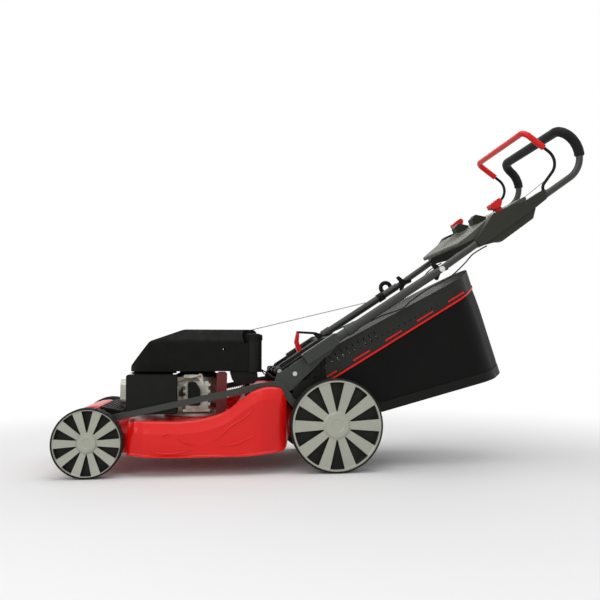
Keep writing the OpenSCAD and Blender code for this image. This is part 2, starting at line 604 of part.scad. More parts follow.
pin_r = 5;
pin_rise = link_arm * (1 - cos(crank_angle)) + run_gap;
link_front = [20, 157];
link_rise = [503, 256];
link_slope = (link_rise.y - link_front.y) / (link_rise.x - link_front.x);
module link_bar() {
    depth = 9.3;
    rack_n = 24;
    color("#3b3e39") placed() both_sides() difference() {
        slab_y(-link_y, -link_y + link_t) {
            outline([[front_pin.x - 11, front_pin.y + 13, 9], [front_pin.x - 9, front_pin.y - 12, 9], [link_front.x, link_front.y - depth, 60],
                     [link_rise.x, link_rise.y - depth, 20], [545, 250, 16], [560, 240, 12], [577, 217, 10], [598, 189, 10],
                     [rear_pin.x - 12, rear_pin.y - 10, 10], [rear_pin.x + 15, rear_pin.y - 2, 10], [rear_pin.x + 10, rear_pin.y + 14, 8],
                     [622, 206, 14], [601, 220, 14], [585, 243, 14], [568, 267, 10], [549, 272, 14],
                     [link_rise.x - 10, link_rise.y + depth - 1, 30], [link_front.x, link_front.y + depth, 60]], 6);
            // Toothed rack below the bar
            for (i = [0:rack_n - 1]) let (x = 340 + 7 * i, z = link_front.y + (x - link_front.x) * link_slope - depth)
                translate([x, z - 4]) square([3, 6]);
        }
        // Slots that let the pins rise a little at mid travel
        for (p = [front_pin, rear_pin]) link_plate(p, p + [0, pin_rise], pin_r + seat_gap, -link_y - 1, -link_y + link_t + 1);
    }
}

// ---- Wheels: local Z runs along the axle, from the inner face to the outer ----
module wheel_form(d) {
    r = d / 2;
    difference() {
        rotate_extrude($fn = 96) polygon(concat(
            [[stub_r + run_gap, 0], [r * 0.2, 0], [r * 0.24, wheel_w * 0.3], [r * 0.74, wheel_w * 0.3], [r * 0.8, 1]],
            arc_points([r - 5, 5], 5, -90, 0, 4), arc_points([r - 3, wheel_w - 3], 3, 0, 90, 4),
            [[r - 4, wheel_w], [r - 4.4, cap_z - 8], [r * 0.9, wheel_w * 0.55], [r * 0.3, wheel_w * 0.55],
             [r * 0.22, hub_z], [stub_r + run_gap, hub_z]]));
        // Tread grooves across each shoulder
        for (i = [0:35]) rotate(i * 10) {
            translate([r - 2.2, -r * 0.022, -1]) cube([4, r * 0.044, wheel_w * 0.42]);
            rotate(5) translate([r - 2.2, -r * 0.022, wheel_w * 0.54]) cube([4, r * 0.044, wheel_w * 0.36]);
        }
    }
}
// Dished cap with one wedge-shaped window between each pair of spokes.
module hubcap_form(d) {
    r = d / 2;
    t = 2.4;
    low = hub_z + seat_gap;
    difference() {
        rotate_extrude($fn = 96) polygon([[0, cap_z + 1], [stub_r + 6, cap_z + 1], [stub_r + 6, low], [r * 0.25, low], [r * 0.3, cap_z - 2 - t],
            [r * 0.88, cap_z + 2 - t], [r * 0.935, cap_z - 5], [r - 5, cap_z - 5], [r - 5, cap_z + 4], [r - 6, cap_z + 5],
            [r * 0.93, cap_z + 5], [r * 0.9, cap_z + 3], [r * 0.3, cap_z - 1], [r * 0.265, cap_z + 2], [r * 0.25, cap_z + 4.4],
            [r * 0.15, cap_z + 5.2], [r * 0.13, cap_z + 4], [0, cap_z + 4]]);
        for (i = [0:spokes - 1]) rotate(90 + i * 360 / spokes) translate([0, 0, cap_z - 20]) linear_extrude(40) intersection() {
            outline([[r * 0.3, -r * 0.012, r * 0.01], [r * 0.98, -r * 0.177, 0], [r * 0.98, r * 0.177, 0], [r * 0.3, r * 0.012, r * 0.01]], 4);
            circle(r * 0.925, $fn = 96);
        }
    }
}
// Stands a wheel on its axle; side is -1 on the left and 1 on the right.
module on_axle(x, z, side) {
    placed() translate([x, side * wheel_in_y, z]) rotate([-90 * side, 0, 0]) rotate(side < 0 ? 0 : 180) children();
}
module front_left_wheel() { color("#1b1b19") on_axle(0, front_r, -1) wheel_form(front_wheel_d); }
module front_right_wheel() { color("#1b1b19") on_axle(0, front_r, 1) wheel_form(front_wheel_d); }
module rear_left_wheel() { color("#1b1b19") on_axle(wheelbase, rear_r, -1) wheel_form(rear_wheel_d); }
module rear_right_wheel() { color("#1b1b19") on_axle(wheelbase, rear_r, 1) wheel_form(rear_wheel_d); }
module front_left_hubcap() { color("#a3a498") on_axle(0, front_r, -1) hubcap_form(front_wheel_d); }
module front_right_hubcap() { color("#a3a498") on_axle(0, front_r, 1) hubcap_form(front_wheel_d); }
module rear_left_hubcap() { color("#a3a498") on_axle(wheelbase, rear_r, -1) hubcap_form(rear_wheel_d); }
module rear_right_hubcap() { color("#a3a498") on_axle(wheelbase, rear_r, 1) hubcap_form(rear_wheel_d); }

// ---- Engine ----
seat_z = platform_z + 3;
case_top_z = seat_z + 134;
shaft_r = shaft_d / 2;
cyl_y = -20;
cyl_z = 238;
module crankcase() {
    color("#b9b9b1") placed() difference() {
        union() {
            translate([engine_x, 0, seat_z]) rotate_extrude() polygon([[0, 0], [104, 0], [104, 8], [92, 14], [90, 60], [94, 66],
                [94, 74], [86, 80], [84, 122], [60, case_top_z - seat_z], [0, case_top_z - seat_z]]);
            // Bolt bosses round the mounting flange
            for (a = [45:90:315]) translate([engine_x + 92 * cos(a), 92 * sin(a), seat_z]) cylinder(r = 12, h = 18);
            // Block that the cylinder bolts to
            translate([engine_x - 98, cyl_y - 48, cyl_z - 48]) cube([60, 96, 90]);
            // Governor and intake side, with its stacked ribs
            for (i = [0:4]) translate([engine_x - 42, -104 - (i == 2 ? 5 : 0), seat_z + 14 + 20 * i]) cube([84, 40, 9]);
            translate([engine_x - 36, -100, seat_z + 14]) cube([72, 40, 96]);
        }
        translate([engine_x, 0, seat_z - 1]) cylinder(r = shaft_r + run_gap, h = 200);
        for (a = [45:90:315]) translate([engine_x + 92 * cos(a), 92 * sin(a), seat_z - 1]) cylinder(r = 4.2, h = 30);
    }
}
fin_n = 9;
head_x = engine_x - 196;
module engine_cylinder() {
    x1 = engine_x - 98 - seat_gap;
    color("#a9a9a1") placed() {
        translate([head_x, cyl_y, cyl_z]) rotate([0, 90, 0]) cylinder(r = 40, h = x1 - head_x);
        for (i = [0:fin_n - 1]) translate([head_x + (x1 - head_x - 3) * i / (fin_n - 1), cyl_y - 58, cyl_z - 54])
            cube([3, 116, 108]);
    }
}
rocker_t = 44;
module rocker_cover() {
    color("#cfcfc7") placed() difference() {
        union() {
            slab_x(head_x - seat_gap - 12, head_x - seat_gap) outline([[cyl_y - 62, 176, 10], [cyl_y - 62, 296, 10],
                [cyl_y + 62, 296, 10], [cyl_y + 62, 176, 10]]);
            slab_x(head_x - seat_gap - rocker_t, head_x - seat_gap - 11) outline([[cyl_y - 46, 194, 16], [cyl_y - 46, 272, 16],
                [cyl_y + 24, 272, 16], [cyl_y + 24, 194, 16]]);
            for (y = [-52, 52], z = [186, 286]) translate([head_x - 18, cyl_y + y, z]) rotate([0, 90, 0]) cylinder(r = 6, h = 12, $fn = 6);
        }
        translate([head_x - 40, cyl_y + 40, 210]) rotate([0, 90, 0]) cylinder(r = 7, h = 60);
    }
}
module spark_plug() {
    color("#2a2a2a") placed() translate([head_x - 34, cyl_y + 40, 210]) rotate([0, 90, 0]) {
        cylinder(r = 5, h = 34);
        translate([0, 0, -14]) cylinder(r = 9, h = 22);
        translate([-3, 0, -14]) rotate([-90, 0, 0]) cylinder(r = 8, h = 22);
    }
}

// Shroud: side, front and plan outlines cross to give its form; off is the depth of its wall.
cap_at = [engine_x + 176, -shroud_half_w + 20];
recess_r = fuel_cap_d / 2 + 8;
recess_z = shroud_top_z - 44;
module shroud_form(off) {
    w = shroud_half_w - off;
    top = shroud_top_z - off;
    low = shroud_low_z - off;
    x0 = engine_x - 205 + off;
    x1 = engine_x + 198 - off;
    intersection() {
        slab_y(-w, w) outline([[x0, low, 0], [x0 + 2, low + 16, 8], [x0 + 61, top - 38, 26], [x0 + 164, top, 50],
            [x1 - 12, top, 16], [x1 - 4, top - 52, 12], [x1, low + 16, 8], [x1 - 3, low, 0]], 6);
        slab_x(x0 - 9, x1 + 9) outline([[-w, low, 0], [-w, top - 36, 18], [-w + 40, top, 24], [w - 40, top, 24],
            [w, top - 36, 18], [w, low, 0]], 6);
        slab_z(low, top + 9) outline([[x0, -w, 62], [x1, -w, 26], [x1, w, 26], [x0, w, 62]], 8);
    }
}
louvre_n = 7;
roof_run = 103;
function roof_z(x) = shroud_top_z - 38 * max(0, engine_x - 41 - x) / roof_run;
module engine_shroud() {
    color("#1c1c19") placed() difference() {
        union() {
            difference() {
                shroud_form(0);
                shroud_form(shroud_t);
            }
            // Blower plate, with a collar that stands on the crankcase
            intersection() {
                shroud_form(0);
                translate([engine_x - 300, -300, shroud_low_z]) cube([600, 600, 3]);
            }
            translate([engine_x, 0, case_top_z + seat_gap]) cylinder(r = 58, h = shroud_low_z + 3 - case_top_z - seat_gap);
            // Baffles in front of the cylinder
            both_sides() translate([engine_x - 194, -118, shroud_low_z - 14]) cube([120, 3, 15]);
            // Hub of the rope starter under the top
            translate([engine_x, 0, rope_hub_z - 9]) cylinder(r = hub_line_r + 6, h = 4);
            translate([engine_x, 0, rope_hub_z - 8]) cylinder(r = hub_line_r - rope_r - seat_gap, h = shroud_top_z - rope_hub_z + 6);
            // Wall round the fuel cap's recess
            intersection() {
                shroud_form(0);
                translate([cap_at.x, cap_at.y, shroud_low_z]) cylinder(r = recess_r + 3, h = 200);
            }
            // Louvres in the front of the top
            for (i = [0:louvre_n - 1]) intersection() {
                shroud_form(0);
                translate([engine_x - 138 + 14 * i, -96, roof_z(engine_x - 138 + 14 * i) - 26]) rotate([0, 24, 0]) cube([3, 192, 40]);
            }
        }
        translate([cap_at.x, cap_at.y, recess_z]) cylinder(r = recess_r, h = 100);
        translate([cap_at.x, cap_at.y, shroud_low_z - 9]) cylinder(r = 27, h = 200);
        translate([engine_x, 0, shroud_low_z - 30]) cylinder(r = 42, h = 40);
        // Slot for the starter rope
        translate(rope_exit) rotate([0, 0, atan2(rope_dir.y, rope_dir.x)]) translate([-46, -3.5, -12]) cube([60, 7, 24]);
        // Cooling grille on the top and slots in the shoulder
        for (i = [0:louvre_n - 1]) translate([engine_x - 136 + 14 * i, -88, roof_z(engine_x - 136 + 14 * i) - 12]) cube([7, 176, 40]);
        both_sides() for (i = [0:6]) translate([engine_x - 66 + 13 * i, -shroud_half_w + 8, shroud_top_z - 34])
            rotate([-45, 0, 0]) cube([8, 30, 12]);
        both_sides() translate([engine_x + 84, -shroud_half_w - 5, shroud_top_z - 62]) rotate([-90, 0, 0]) cylinder(r = 4, h = 20);
    }
}
tank_low_z = 261;
module fuel_tank() {
    y0 = -shroud_half_w + 6;
    top = shroud_low_z - 2;
    color("#20201d") placed() {
        slab_y(y0, y0 + 96) outline([[engine_x + 103, top, 3], [engine_x + 111, tank_low_z + 10, 14],
            [engine_x + 120, tank_low_z, 10], [engine_x + 176, tank_low_z, 8], [engine_x + 190, tank_low_z + 14, 6], [engine_x + 187, top, 3]]);
        // Foot on the deck
        slab_y(y0 + 20, y0 + 52) outline([[456, tank_low_z + 1, 0], [470, tank_low_z + 1, 0],
            [470, curve(deck_middle, 470) + seat_gap, 0], [456, curve(deck_middle, 456) + seat_gap, 0]]);
        translate([cap_at.x, cap_at.y, top - 1]) cylinder(r = 26, h = recess_z - top + 8);
        translate([cap_at.x, cap_at.y, recess_z + 6]) cylinder(r = 21, h = 8);
    }
}
cap_ribs = 24;
module fuel_cap() {
    z0 = recess_z + 7.5;
    color("#151513") placed() translate([cap_at.x, cap_at.y, z0]) difference() {
        union() {
            cylinder(r = fuel_cap_d / 2 - 2, h = 20);
            for (i = [0:cap_ribs - 1]) rotate(i * 360 / cap_ribs) translate([fuel_cap_d / 2 - 4, -1.5, 1]) cube([4, 3, 17]);
            translate([0, 0, 19]) cylinder(r1 = fuel_cap_d / 2 - 5, r2 = fuel_cap_d / 2 - 10, h = 4);
        }
        translate([0, 0, -1]) cylinder(r = 21 + run_gap, h = 8);
    }
}

filter_x = 98;
filter_len = 153;
filter_y = -link_y + link_t + 2;
carb_x = engine_x - 80;
carb_z = 235;
rod_end = [carb_x + 14, carb_z + 29];
module air_filter_base() {
    color("#1b1b19") placed() difference() {
        slab_y(filter_y + 34, filter_y + 58) outline([[filter_x + 6, 178, 6], [filter_x + 6, 287, 6],
            [filter_x + filter_len - 8, 287, 6], [filter_x + filter_len - 4, 178, 6]]);
        bar_y([carb_x, carb_z], 10, filter_y + 30, filter_y + 60);
    }
}
module air_filter_cover() {
    color("#23231f") placed() difference() {
        union() {
            slab_y(filter_y + 4, filter_y + 34 - seat_gap) outline([[filter_x + 2, 174, 7], [filter_x, 292, 7],
                [filter_x + filter_len - 3, 292, 7], [filter_x + filter_len, 174, 7]]);
            slab_y(filter_y, filter_y + 5) outline([[filter_x + 5, 177, 7], [filter_x + 3, 289, 7],
                [filter_x + filter_len - 6, 289, 7], [filter_x + filter_len - 3, 177, 7]]);
        }
        slab_y(filter_y + 8, filter_y + 40) outline([[filter_x + 6, 178, 5], [filter_x + 4, 288, 5],
            [filter_x + filter_len - 7, 288, 5], [filter_x + filter_len - 4, 178, 5]]);
    }
}
module carburettor() {
    y0 = filter_y + 58 + seat_gap;
    color("#b4b4aa") placed() difference() {
        union() {
            bar_y([carb_x, carb_z], 21, y0, y0 + 8);
            bar_y([carb_x, carb_z], 16, y0 + 7, cyl_y - 48 - seat_gap);
            translate([carb_x - 22, y0 + 7, carb_z - 23]) cube([46, 28, 44]);
            translate([carb_x, y0 + 20, carb_z - 47]) cylinder(r = 19, h = 30);
            translate([carb_x, y0 + 20, carb_z - 53]) cylinder(r = 6, h = 10, $fn = 6);
            // Lug for the governor rod
            slab_y(-110 + seat_gap, -100) outline([[carb_x + 6, carb_z + 5, 0], [carb_x + 20, carb_z + 5, 0],
                [carb_x + 20, carb_z + 35, 6], [carb_x + 8, carb_z + 35, 6]]);
        }
        bar_y([carb_x, carb_z], 10, y0 - 1, y0 + 200);
    }
}
muffler_y = 84;
module muffler() {
    color("#4a4743") placed() difference() {
        union() {
            slab_y(muffler_y, muffler_y + 58) outline([[112, 186, 14], [112, 282, 14], [212, 282, 14], [212, 186, 14]]);
            slab_y(cyl_y + 58 + seat_gap, muffler_y + 1) outline([[150, 214, 6], [150, 246, 6], [186, 246, 6], [186, 214, 6]]);
            // Heat guard ribs
            for (i = [0:6]) translate([118 + 13 * i, muffler_y + 56, 190]) cube([6, 8, 88]);
        }
        for (z = [206, 220, 234]) translate([100, muffler_y + 18, z]) cube([30, 26, 6]);
    }
}
lever_pin = [engine_x + 10, 284];
module governor_lever() {
    color("#bdbdb4") placed() {
        difference() {
            union() {
                link_plate(lever_pin, lever_pin + [-46, 0], 5, -128, -125);
                link_plate(lever_pin, lever_pin + [6, -20], 5, -128, -125);
                bar_y(lever_pin, 8, -128, -118);
            }
            bar_y(lever_pin, 4 + run_gap, -130, -110);
        }
    }
}
module governor_rods() {
    color("#8a6a3c") placed() {
        bar_y(lever_pin, 4, -133, -84);
        bar_y(rod_end, 3, -133, -110);
        for (y = [-131, -114]) strut(rod_end, lever_pin, 1.6, y);
    }
}
module side_cover() {
    y0 = -146;
    color("#1a1a18") placed() difference() {
        slab_y(y0, y0 + 36.7) outline([[engine_x - 28, 266, 5], [engine_x - 4, 266, 5], [engine_x + 11, 243, 5],
            [engine_x + 12, 194, 5], [engine_x - 26, 194, 5]]);
        slab_y(y0 - 1, y0 + 3) outline([[engine_x - 22, 259, 4], [engine_x - 8, 259, 4], [engine_x + 4, 240, 4],
            [engine_x + 5, 202, 4], [engine_x - 20, 202, 4]]);
    }
}
module oil_filler() {
    x0 = engine_x + 60;
    y0 = -142;
    turn = atan2(y0 + 15, 78);
    color("#6e1512") placed() {
        slab_y(y0, y0 + 30) outline([[x0, seat_z + 12, 4], [x0 + 2, 296, 5], [x0 + 34, 296, 5], [x0 + 32, seat_z + 12, 4]]);
        translate([x0 + 18, y0 + 15, 295]) cylinder(r = 11, h = 3);
        // Elbow into the crankcase
        translate([engine_x, 0, seat_z + 34]) rotate([0, 0, turn]) rotate([0, 90, 0]) translate([0, 0, 93]) cylinder(r = 7, h = 44);
    }
}
module crankshaft() {
    color("#b8b8b0") placed() translate([engine_x, 0, blade_z + 12]) cylinder(r = shaft_r, h = fly_z + 40 - blade_z - 12);
}
fly_z = shroud_low_z + 6;
module flywheel() {
    color("#9c9c94") placed() translate([engine_x, 0, fly_z]) difference() {
        union() {
            cylinder(r = 92, h = 10, $fn = 72);
            cylinder(r = 34, h = 36);
            for (i = [0:15]) rotate(i * 22.5) rotate([0, 0, 12]) translate([58, -1.5, 9]) cube([32, 3, 26]);
        }
        translate([0, 0, -1]) cylinder(r = shaft_r, h = 60);
    }
}
blade_z = deck_low_z + 14;
blade_t = 4;
module blade_adapter() {
    color("#77776f") placed() translate([engine_x, 0, blade_z + blade_t]) difference() {
        union() {
            cylinder(r = 24, h = 40);
            translate([-34, -22, 0]) cube([68, 44, 8]);
        }
        translate([0, 0, 8]) cylinder(r = shaft_r, h = 60);
        translate([0, 0, -1]) cylinder(r = 5, h = 20);
    }
}
module blade() {
    half = blade_len / 2;
    w = blade_w / 2;
    color("#8c8c86") placed() translate([engine_x, 0, blade_z]) difference() {
        union() {
            linear_extrude(blade_t) outline([[-half, -w + 14, 6], [-half + 110, -w, 30], [half - 20, -w, 10], [half, -w + 10, 6],
                [half, w - 14, 6], [half - 110, w, 30], [-half + 20, w, 10], [-half, w - 10, 6]]);
            // Lift wings at the trailing corners
            for (a = [0, 180]) rotate(a) translate([half - 92, w - 11, 1]) rotate([34, 0, 0]) cube([78, 26, 3]);
        }
        translate([0, 0, -1]) cylinder(r = 5, h = 9);
        // Ground cutting edges
        for (a = [0, 180]) rotate(a) translate([half - 112, -w - 6, -1]) rotate([-28, 0, 0]) cube([120, 14, 4]);
    }
}
module blade_bolt() {
    color("#6a6a64") placed() translate([engine_x, 0, blade_z]) {
        translate([0, 0, -12]) cylinder(r = 11, h = 8, $fn = 6);
        translate([0, 0, -4]) cylinder(r = 20, h = 4);
        translate([0, 0, -1]) cylinder(r = 4.9, h = 12);
    }
}

// ---- Handle ----
low_dir = [cos(lower_slope), sin(lower_slope)];
up_dir = [cos(upper_slope), sin(upper_slope)];
up_n = [-up_dir.y, up_dir.x];
tang_t = 8;
plate_y = -link_y + link_t + free_gap;
plate_t = 8;
bolt_head_r = 7;
bolt_head_t = 3.2;
// A hole to y1 with a recess that takes a bolt's head below the plate's face.
module bolt_seat(p, y1) {
    bar_y(p, 5 + run_gap, plate_y - 1, y1);
    bar_y(p, bolt_head_r + seat_gap, plate_y - 1, plate_y + bolt_head_t + seat_gap);
}
module bracket_side() {
    outline([[542, 262, 4], [549, 290, 10], [657, 360, 20], [719, 398, 5], [738, 381, 5], [712, 350, 12],
        [697, 341, 10], [657, 302, 12], [629, 276, 14], [607, 249, 14], [588, 240, 8], [560, 262, 10]]);
}
module handle_brackets() {
    socket_in_y = -bag_half_w - 3.4;
    color("#3d403b") placed() both_sides() difference() {
        union() {
            slab_y(plate_y, socket_in_y) bracket_side();
            slab_y(socket_in_y - 1, plate_y + plate_t) intersection() {
                bracket_side();
                translate([500, 200]) square([bag_x - 501, 250]);
            }
            slab_y(-tube_y - lower_r - 3, socket_in_y) translate(tube_foot) rotate(lower_slope)
                outline([[4, -lower_r - 4, 6], [4, lower_r + 4, 6], [132, lower_r + 4, 8], [122, -lower_r - 4, 8]]);
        }
        // Socket for the tube
        translate([tube_foot.x, -tube_y, tube_foot.y]) rotate([0, 90 - lower_slope, 0]) translate([0, 0, 12])
            cylinder(r = lower_r + run_gap, h = 200);
        // Recessed rib
        slab_y(-tube_y - lower_r - 9, -tube_y - lower_r - 1.5) translate(tube_foot) rotate(lower_slope)
            outline([[16, -7, 6], [16, 7, 6], [108, 7, 6.5], [108, -7, 6.5]]);
        bolt_seat(bracket_bolt, plate_y + 20);
    }
}
module handle_bolts() {
    color("#e6e6e0") placed() both_sides() {
        for (p = concat([bracket_bolt], frame_bolts)) {
            bar_y(p, bolt_head_r, plate_y, plate_y + bolt_head_t);
            bar_y(p, 4.9, plate_y + 1, plate_y + plate_t + 8);
        }
        // Fold bolts through the handle joints
        bar_y(fold_pin, fold_bolt_d / 2, -tube_y - upper_r - 1, -tube_y + upper_r + 7);
        bar_y(fold_pin, 9, -tube_y - upper_r - 4, -tube_y - upper_r - seat_gap);
    }
}
module lower_tubes() {
    start = 12 + seat_gap;
    color("#3a3d38") placed() both_sides() {
        difference() {
            translate([tube_foot.x, -tube_y, tube_foot.y]) rotate([0, 90 - lower_slope, 0]) difference() {
                translate([0, 0, start]) cylinder(r = lower_r, h = lower_len - start);
                translate([0, 0, start - 1]) cylinder(r = lower_r - tube_t, h = lower_len - start - 60);
            }
            bar_y(fold_pin, fold_round + free_gap, -tube_y - 30, -tube_y + 30);
        }
        // Tongue that enters the upper tube
        difference() {
            union() {
                slab_y(-tube_y - tang_t / 2, -tube_y + tang_t / 2) translate(fold_pin) rotate(lower_slope)
                    translate([-fold_round - 12, -upper_r + 3]) square([fold_round + 12, 2 * upper_r - 6]);
                bar_y(fold_pin, upper_r - 1, -tube_y - tang_t / 2, -tube_y + tang_t / 2);
            }
            bar_y(fold_pin, fold_bolt_d / 2 + run_gap, -tube_y - 20, -tube_y + 20);
        }
        // Clip round the tube
        translate([tube_foot.x, -tube_y, tube_foot.y]) rotate([0, 90 - lower_slope, 0]) translate([0, 0, 160]) difference() {
            cylinder(r = lower_r + 3, h = 34);
            translate([0, 0, -1]) cylinder(r = lower_r - 1, h = 40);
        }
    }
}
grip_end = path_end(fold_pin, upper_slope, upper_path);
module upper_handle() {
    bore_r = upper_r - tube_t;
    stub = 60;
    color("#3a3d38") placed() {
        both_sides() difference() {
            strut(fold_pin - (fold_round + 2) * up_dir, fold_pin + stub * up_dir, upper_r, -tube_y);
            // The end is round about the bolt, and slotted for the tongue
            slab_y(-tube_y - 30, -tube_y + 30) translate(fold_pin) rotate(upper_slope) difference() {
                translate([-60, -30]) square([60, 60]);
                circle(fold_round);
            }
            slab_y(-tube_y - tang_t / 2 - seat_gap, -tube_y + tang_t / 2 + seat_gap) translate(fold_pin) circle(fold_round + 4);
            bar_y(fold_pin, fold_bolt_d / 2 + run_gap, -tube_y - 30, -tube_y + 30);
        }
        both_sides() {
            wire(fold_pin + (stub + hair) * up_dir, upper_slope,
                 [[upper_len - stub - hair, 0], [grip_bend_r, grip_lean - upper_slope]], upper_r, -tube_y, bore_r);
            weld(fold_pin + stub * up_dir, upper_slope, upper_r, -tube_y, bore_r);
        }
        crossbar(grip_end, grip_turn_r, tube_y, upper_r, bore_r);
        // Pins for the bail
        both_sides() bar_y(bail_pin, 4, -tube_y, -bail_y + bail_r + 1);
    }
}
module handle_foam() {
    a0 = 57;
    foam_at = path_end(fold_pin, upper_slope, [[upper_len, 0], [grip_bend_r, a0]]);
    color("#1b1b1a") placed() {
        both_sides() wire(foam_at[0], foam_at[1], [[grip_bend_r, grip_lean - upper_slope - a0]], foam_r, -tube_y, upper_r + seat_gap);
        crossbar(grip_end, grip_turn_r, tube_y, foam_r, upper_r + seat_gap);
    }
}

// Three-winged knob on the inner end of a fold bolt
module fold_knob() {
    y0 = tube_y - upper_r - 1.5;
    placed() difference() {
        union() {
            bar_y(fold_pin, 12, y0 - 14, y0 - 1);
            slab_y(y0 - 13, y0 - 4) translate(fold_pin) for (a = [15, 135, 255]) rotate(a)
                outline([[0, -11, 0], [14, -8, 10], [31, -6, 4], [34, 5, 4], [14, 7, 10], [0, 11, 0]]);
        }
        bar_y(fold_pin, fold_bolt_d / 2 + run_gap, y0 - 8, y0 + 2);
    }
}
module left_fold_knob() { color("#171715") mirror([0, 1, 0]) fold_knob(); }
module right_fold_knob() { color("#171715") fold_knob(); }

// ---- Console ----
shroud_in = 13.4;
panel_half_w = tube_y - shroud_in - seat_gap;
lever_y = tube_y - 50;
lever_pin_c = fold_pin + 299 * up_dir + 14 * up_n;
lever_hub_r = 24;
lever_t = 14;
module panel_side() {
    translate(fold_pin) rotate(upper_slope)
        outline([[112, 22, 6], [114, 34, 6], [170, 38, 30], [228, 44, 30], [262, 38, 20], [330, 38, 30],
                 [384, 34, 4], [384, 22, 4], [330, 22, 20], [230, 20, 30], [170, 16, 30]]);
}
module console_panel() {
    color("#8d8d80") placed() {
        difference() {
            union() {
                slab_y(-panel_half_w, panel_half_w) panel_side();
                // Lugs that hold the levers' pins
                for (s = [-1, 1], e = [-1, 1]) let (y = s * lever_y + e * (lever_t / 2 + 5)) slab_y(y - 3, y + 3)
                    translate(lever_pin_c) circle(r = 12);
            }
            // Dished front half and rounded front corners
            translate([fold_pin.x, 0, fold_pin.y]) rotate([0, -upper_slope, 0]) {
                translate([176, 0, 38 + 392]) sphere(r = 400, $fn = 128);
                both_sides() translate([100, -panel_half_w - 1, 0]) difference() {
                    cube([60, 60, 80]);
                    translate([61, 61, -1]) cylinder(r = 60, h = 90);
                }
            }
            for (s = [-1, 1]) bar_y(lever_pin_c, lever_hub_r + free_gap + 12, s * lever_y - lever_t / 2 - 1, s * lever_y + lever_t / 2 + 1);
        }
        for (s = [-1, 1]) bar_y(lever_pin_c, 4, s * lever_y - lever_t / 2 - 4, s * lever_y + lever_t / 2 + 4);
    }
}
module console_shrouds() {
    out = 19;
    color("#45463f") placed() {
        both_sides() difference() {
            union() {
                slab_y(-tube_y - out, -tube_y + shroud_in) translate(fold_pin) rotate(upper_slope)
                    outline([[145, -15, 8], [147, 14, 8], [243, 50, 14], [308, 38, 30], [362, 22.5, 20], [428, 20, 5],
                             [438, 8, 6], [427, -11, 8], [376, -14, 10]]);
                // Lower lobe
                slab_y(-tube_y - out + 5, -tube_y + shroud_in - 3) translate(fold_pin) rotate(upper_slope)
                    outline([[151, -12, 0], [202, -30, 8], [217, -39.5, 6], [350, -38, 8], [377, -16, 6], [377, -12, 0]]);
            }
            strut(fold_pin + 60 * up_dir, fold_pin + 440 * up_dir, upper_r + seat_gap, -tube_y);
        }
        // Housings of the lever cables
        both_sides() slab_y(-96, -64) translate(fold_pin) rotate(upper_slope)
            outline([[232, 45.5, 0], [236, 66, 4], [258, 72, 4], [286, 44, 3], [280, 38.4, 0], [262, 38.4, 0]]);
    }
}
module red_lever(side) {
    y = side * lever_y;
    color("#d2232b") placed() difference() {
        union() {
            bar_y(lever_pin_c, lever_hub_r, y - lever_t / 2, y + lever_t / 2);
            slab_y(y - lever_t / 2, y + lever_t / 2) translate(lever_pin_c) rotate(upper_slope)
                outline([[-12, 0, 0], [-8, 44, 0], [10, 44, 0], [14, 0, 0]]);
            slab_y(y - 15, y + 15) translate(lever_pin_c) rotate(upper_slope)
                outline([[-24, 48, 5], [-22, 62, 5], [18, 64, 5], [24, 52, 5], [10, 38, 4], [-8, 38, 4]]);
        }
        bar_y(lever_pin_c, 4 + run_gap, y - 20, y + 20);
    }
}
module throttle_lever() { red_lever(-1); }
module drive_lever() { red_lever(1); }

// ---- Bail ----
bail_y = tube_y - bail_inset;
bail_r = bail_d / 2;
bail_turn_r = 24;
bail_pin = fold_pin + 455 * up_dir + 8 * up_n;
bail_sleeve_len = 62;
bail_path = [[3, 0], [26, -47], [48, 0], [50, 91], [82, 0]];
bail_end = path_end(bail_pin + 7 * [cos(100), sin(100)], 100, bail_path);
module bail_wire() {
    color("#1e1e1c") placed() {
        both_sides() {
            wire(bail_pin + 7 * [cos(100), sin(100)], 100, bail_path, bail_r, -bail_y);
            // Eye round the pin, which stands in the handle tube
            difference() {
                bar_y(bail_pin, 9, -bail_y - bail_r + 1, -bail_y + bail_r - 1);
                bar_y(bail_pin, 4 + run_gap, -bail_y - 20, -bail_y + 20);
            }
        }
        crossbar(bail_end, bail_turn_r, bail_y, bail_r);
    }
}
module bail_sleeve() {
    r = bail_sleeve_d / 2;
    u = [cos(bail_end[1]), sin(bail_end[1])];
    color("#d8262e") placed() {
        both_sides() strut(bail_end[0] - bail_sleeve_len * u, bail_end[0], r, -bail_y, bail_r + seat_gap);
        crossbar(bail_end, bail_turn_r, bail_y, r, bail_r + seat_gap);
    }
}

// ---- Starter rope, guide and grip ----
rope_r = 1.6;
grip_y = tube_y + 38;
grip_a = 59;
grip_dir = [cos(grip_a), 0, sin(grip_a)];
eye_at = tube_foot + 425 * low_dir + [3.5, -5.5];
rope_eye = [eye_at.x, grip_y, eye_at.y];
rope_exit = [470, 25, shroud_top_z];
rope_dir = (rope_eye - rope_exit) / norm(rope_eye - rope_exit);
rope_turn = atan2(rope_dir.y, rope_dir.x);
// The rope runs in from its exit and lies against the starter's hub.
flat_dir = [cos(rope_turn), sin(rope_turn)];
hub_off = cross(flat_dir, [rope_exit.x - engine_x, rope_exit.y]);
hub_line_r = abs(hub_off);
hub_run = (rope_exit.x - engine_x) * flat_dir.x + rope_exit.y * flat_dir.y;
rope_hub_z = rope_exit.z - hub_run * tan(asin(rope_dir.z));
rope_start = rope_exit - rope_dir * hub_run / cos(asin(rope_dir.z));
eye_r = 9;
eye_wire_r = 2.5;
grip_stem = eye_wire_r + seat_gap;
grip_reach = 54;
grip_ring_r = 19;
grip_wire_r = 8;
module rope_leg(p, q, r) {
    d = q - p;
    translate(p) rotate([0, acos(d.z / norm(d)), atan2(d.y, d.x)]) cylinder(r = r, h = norm(d));
}
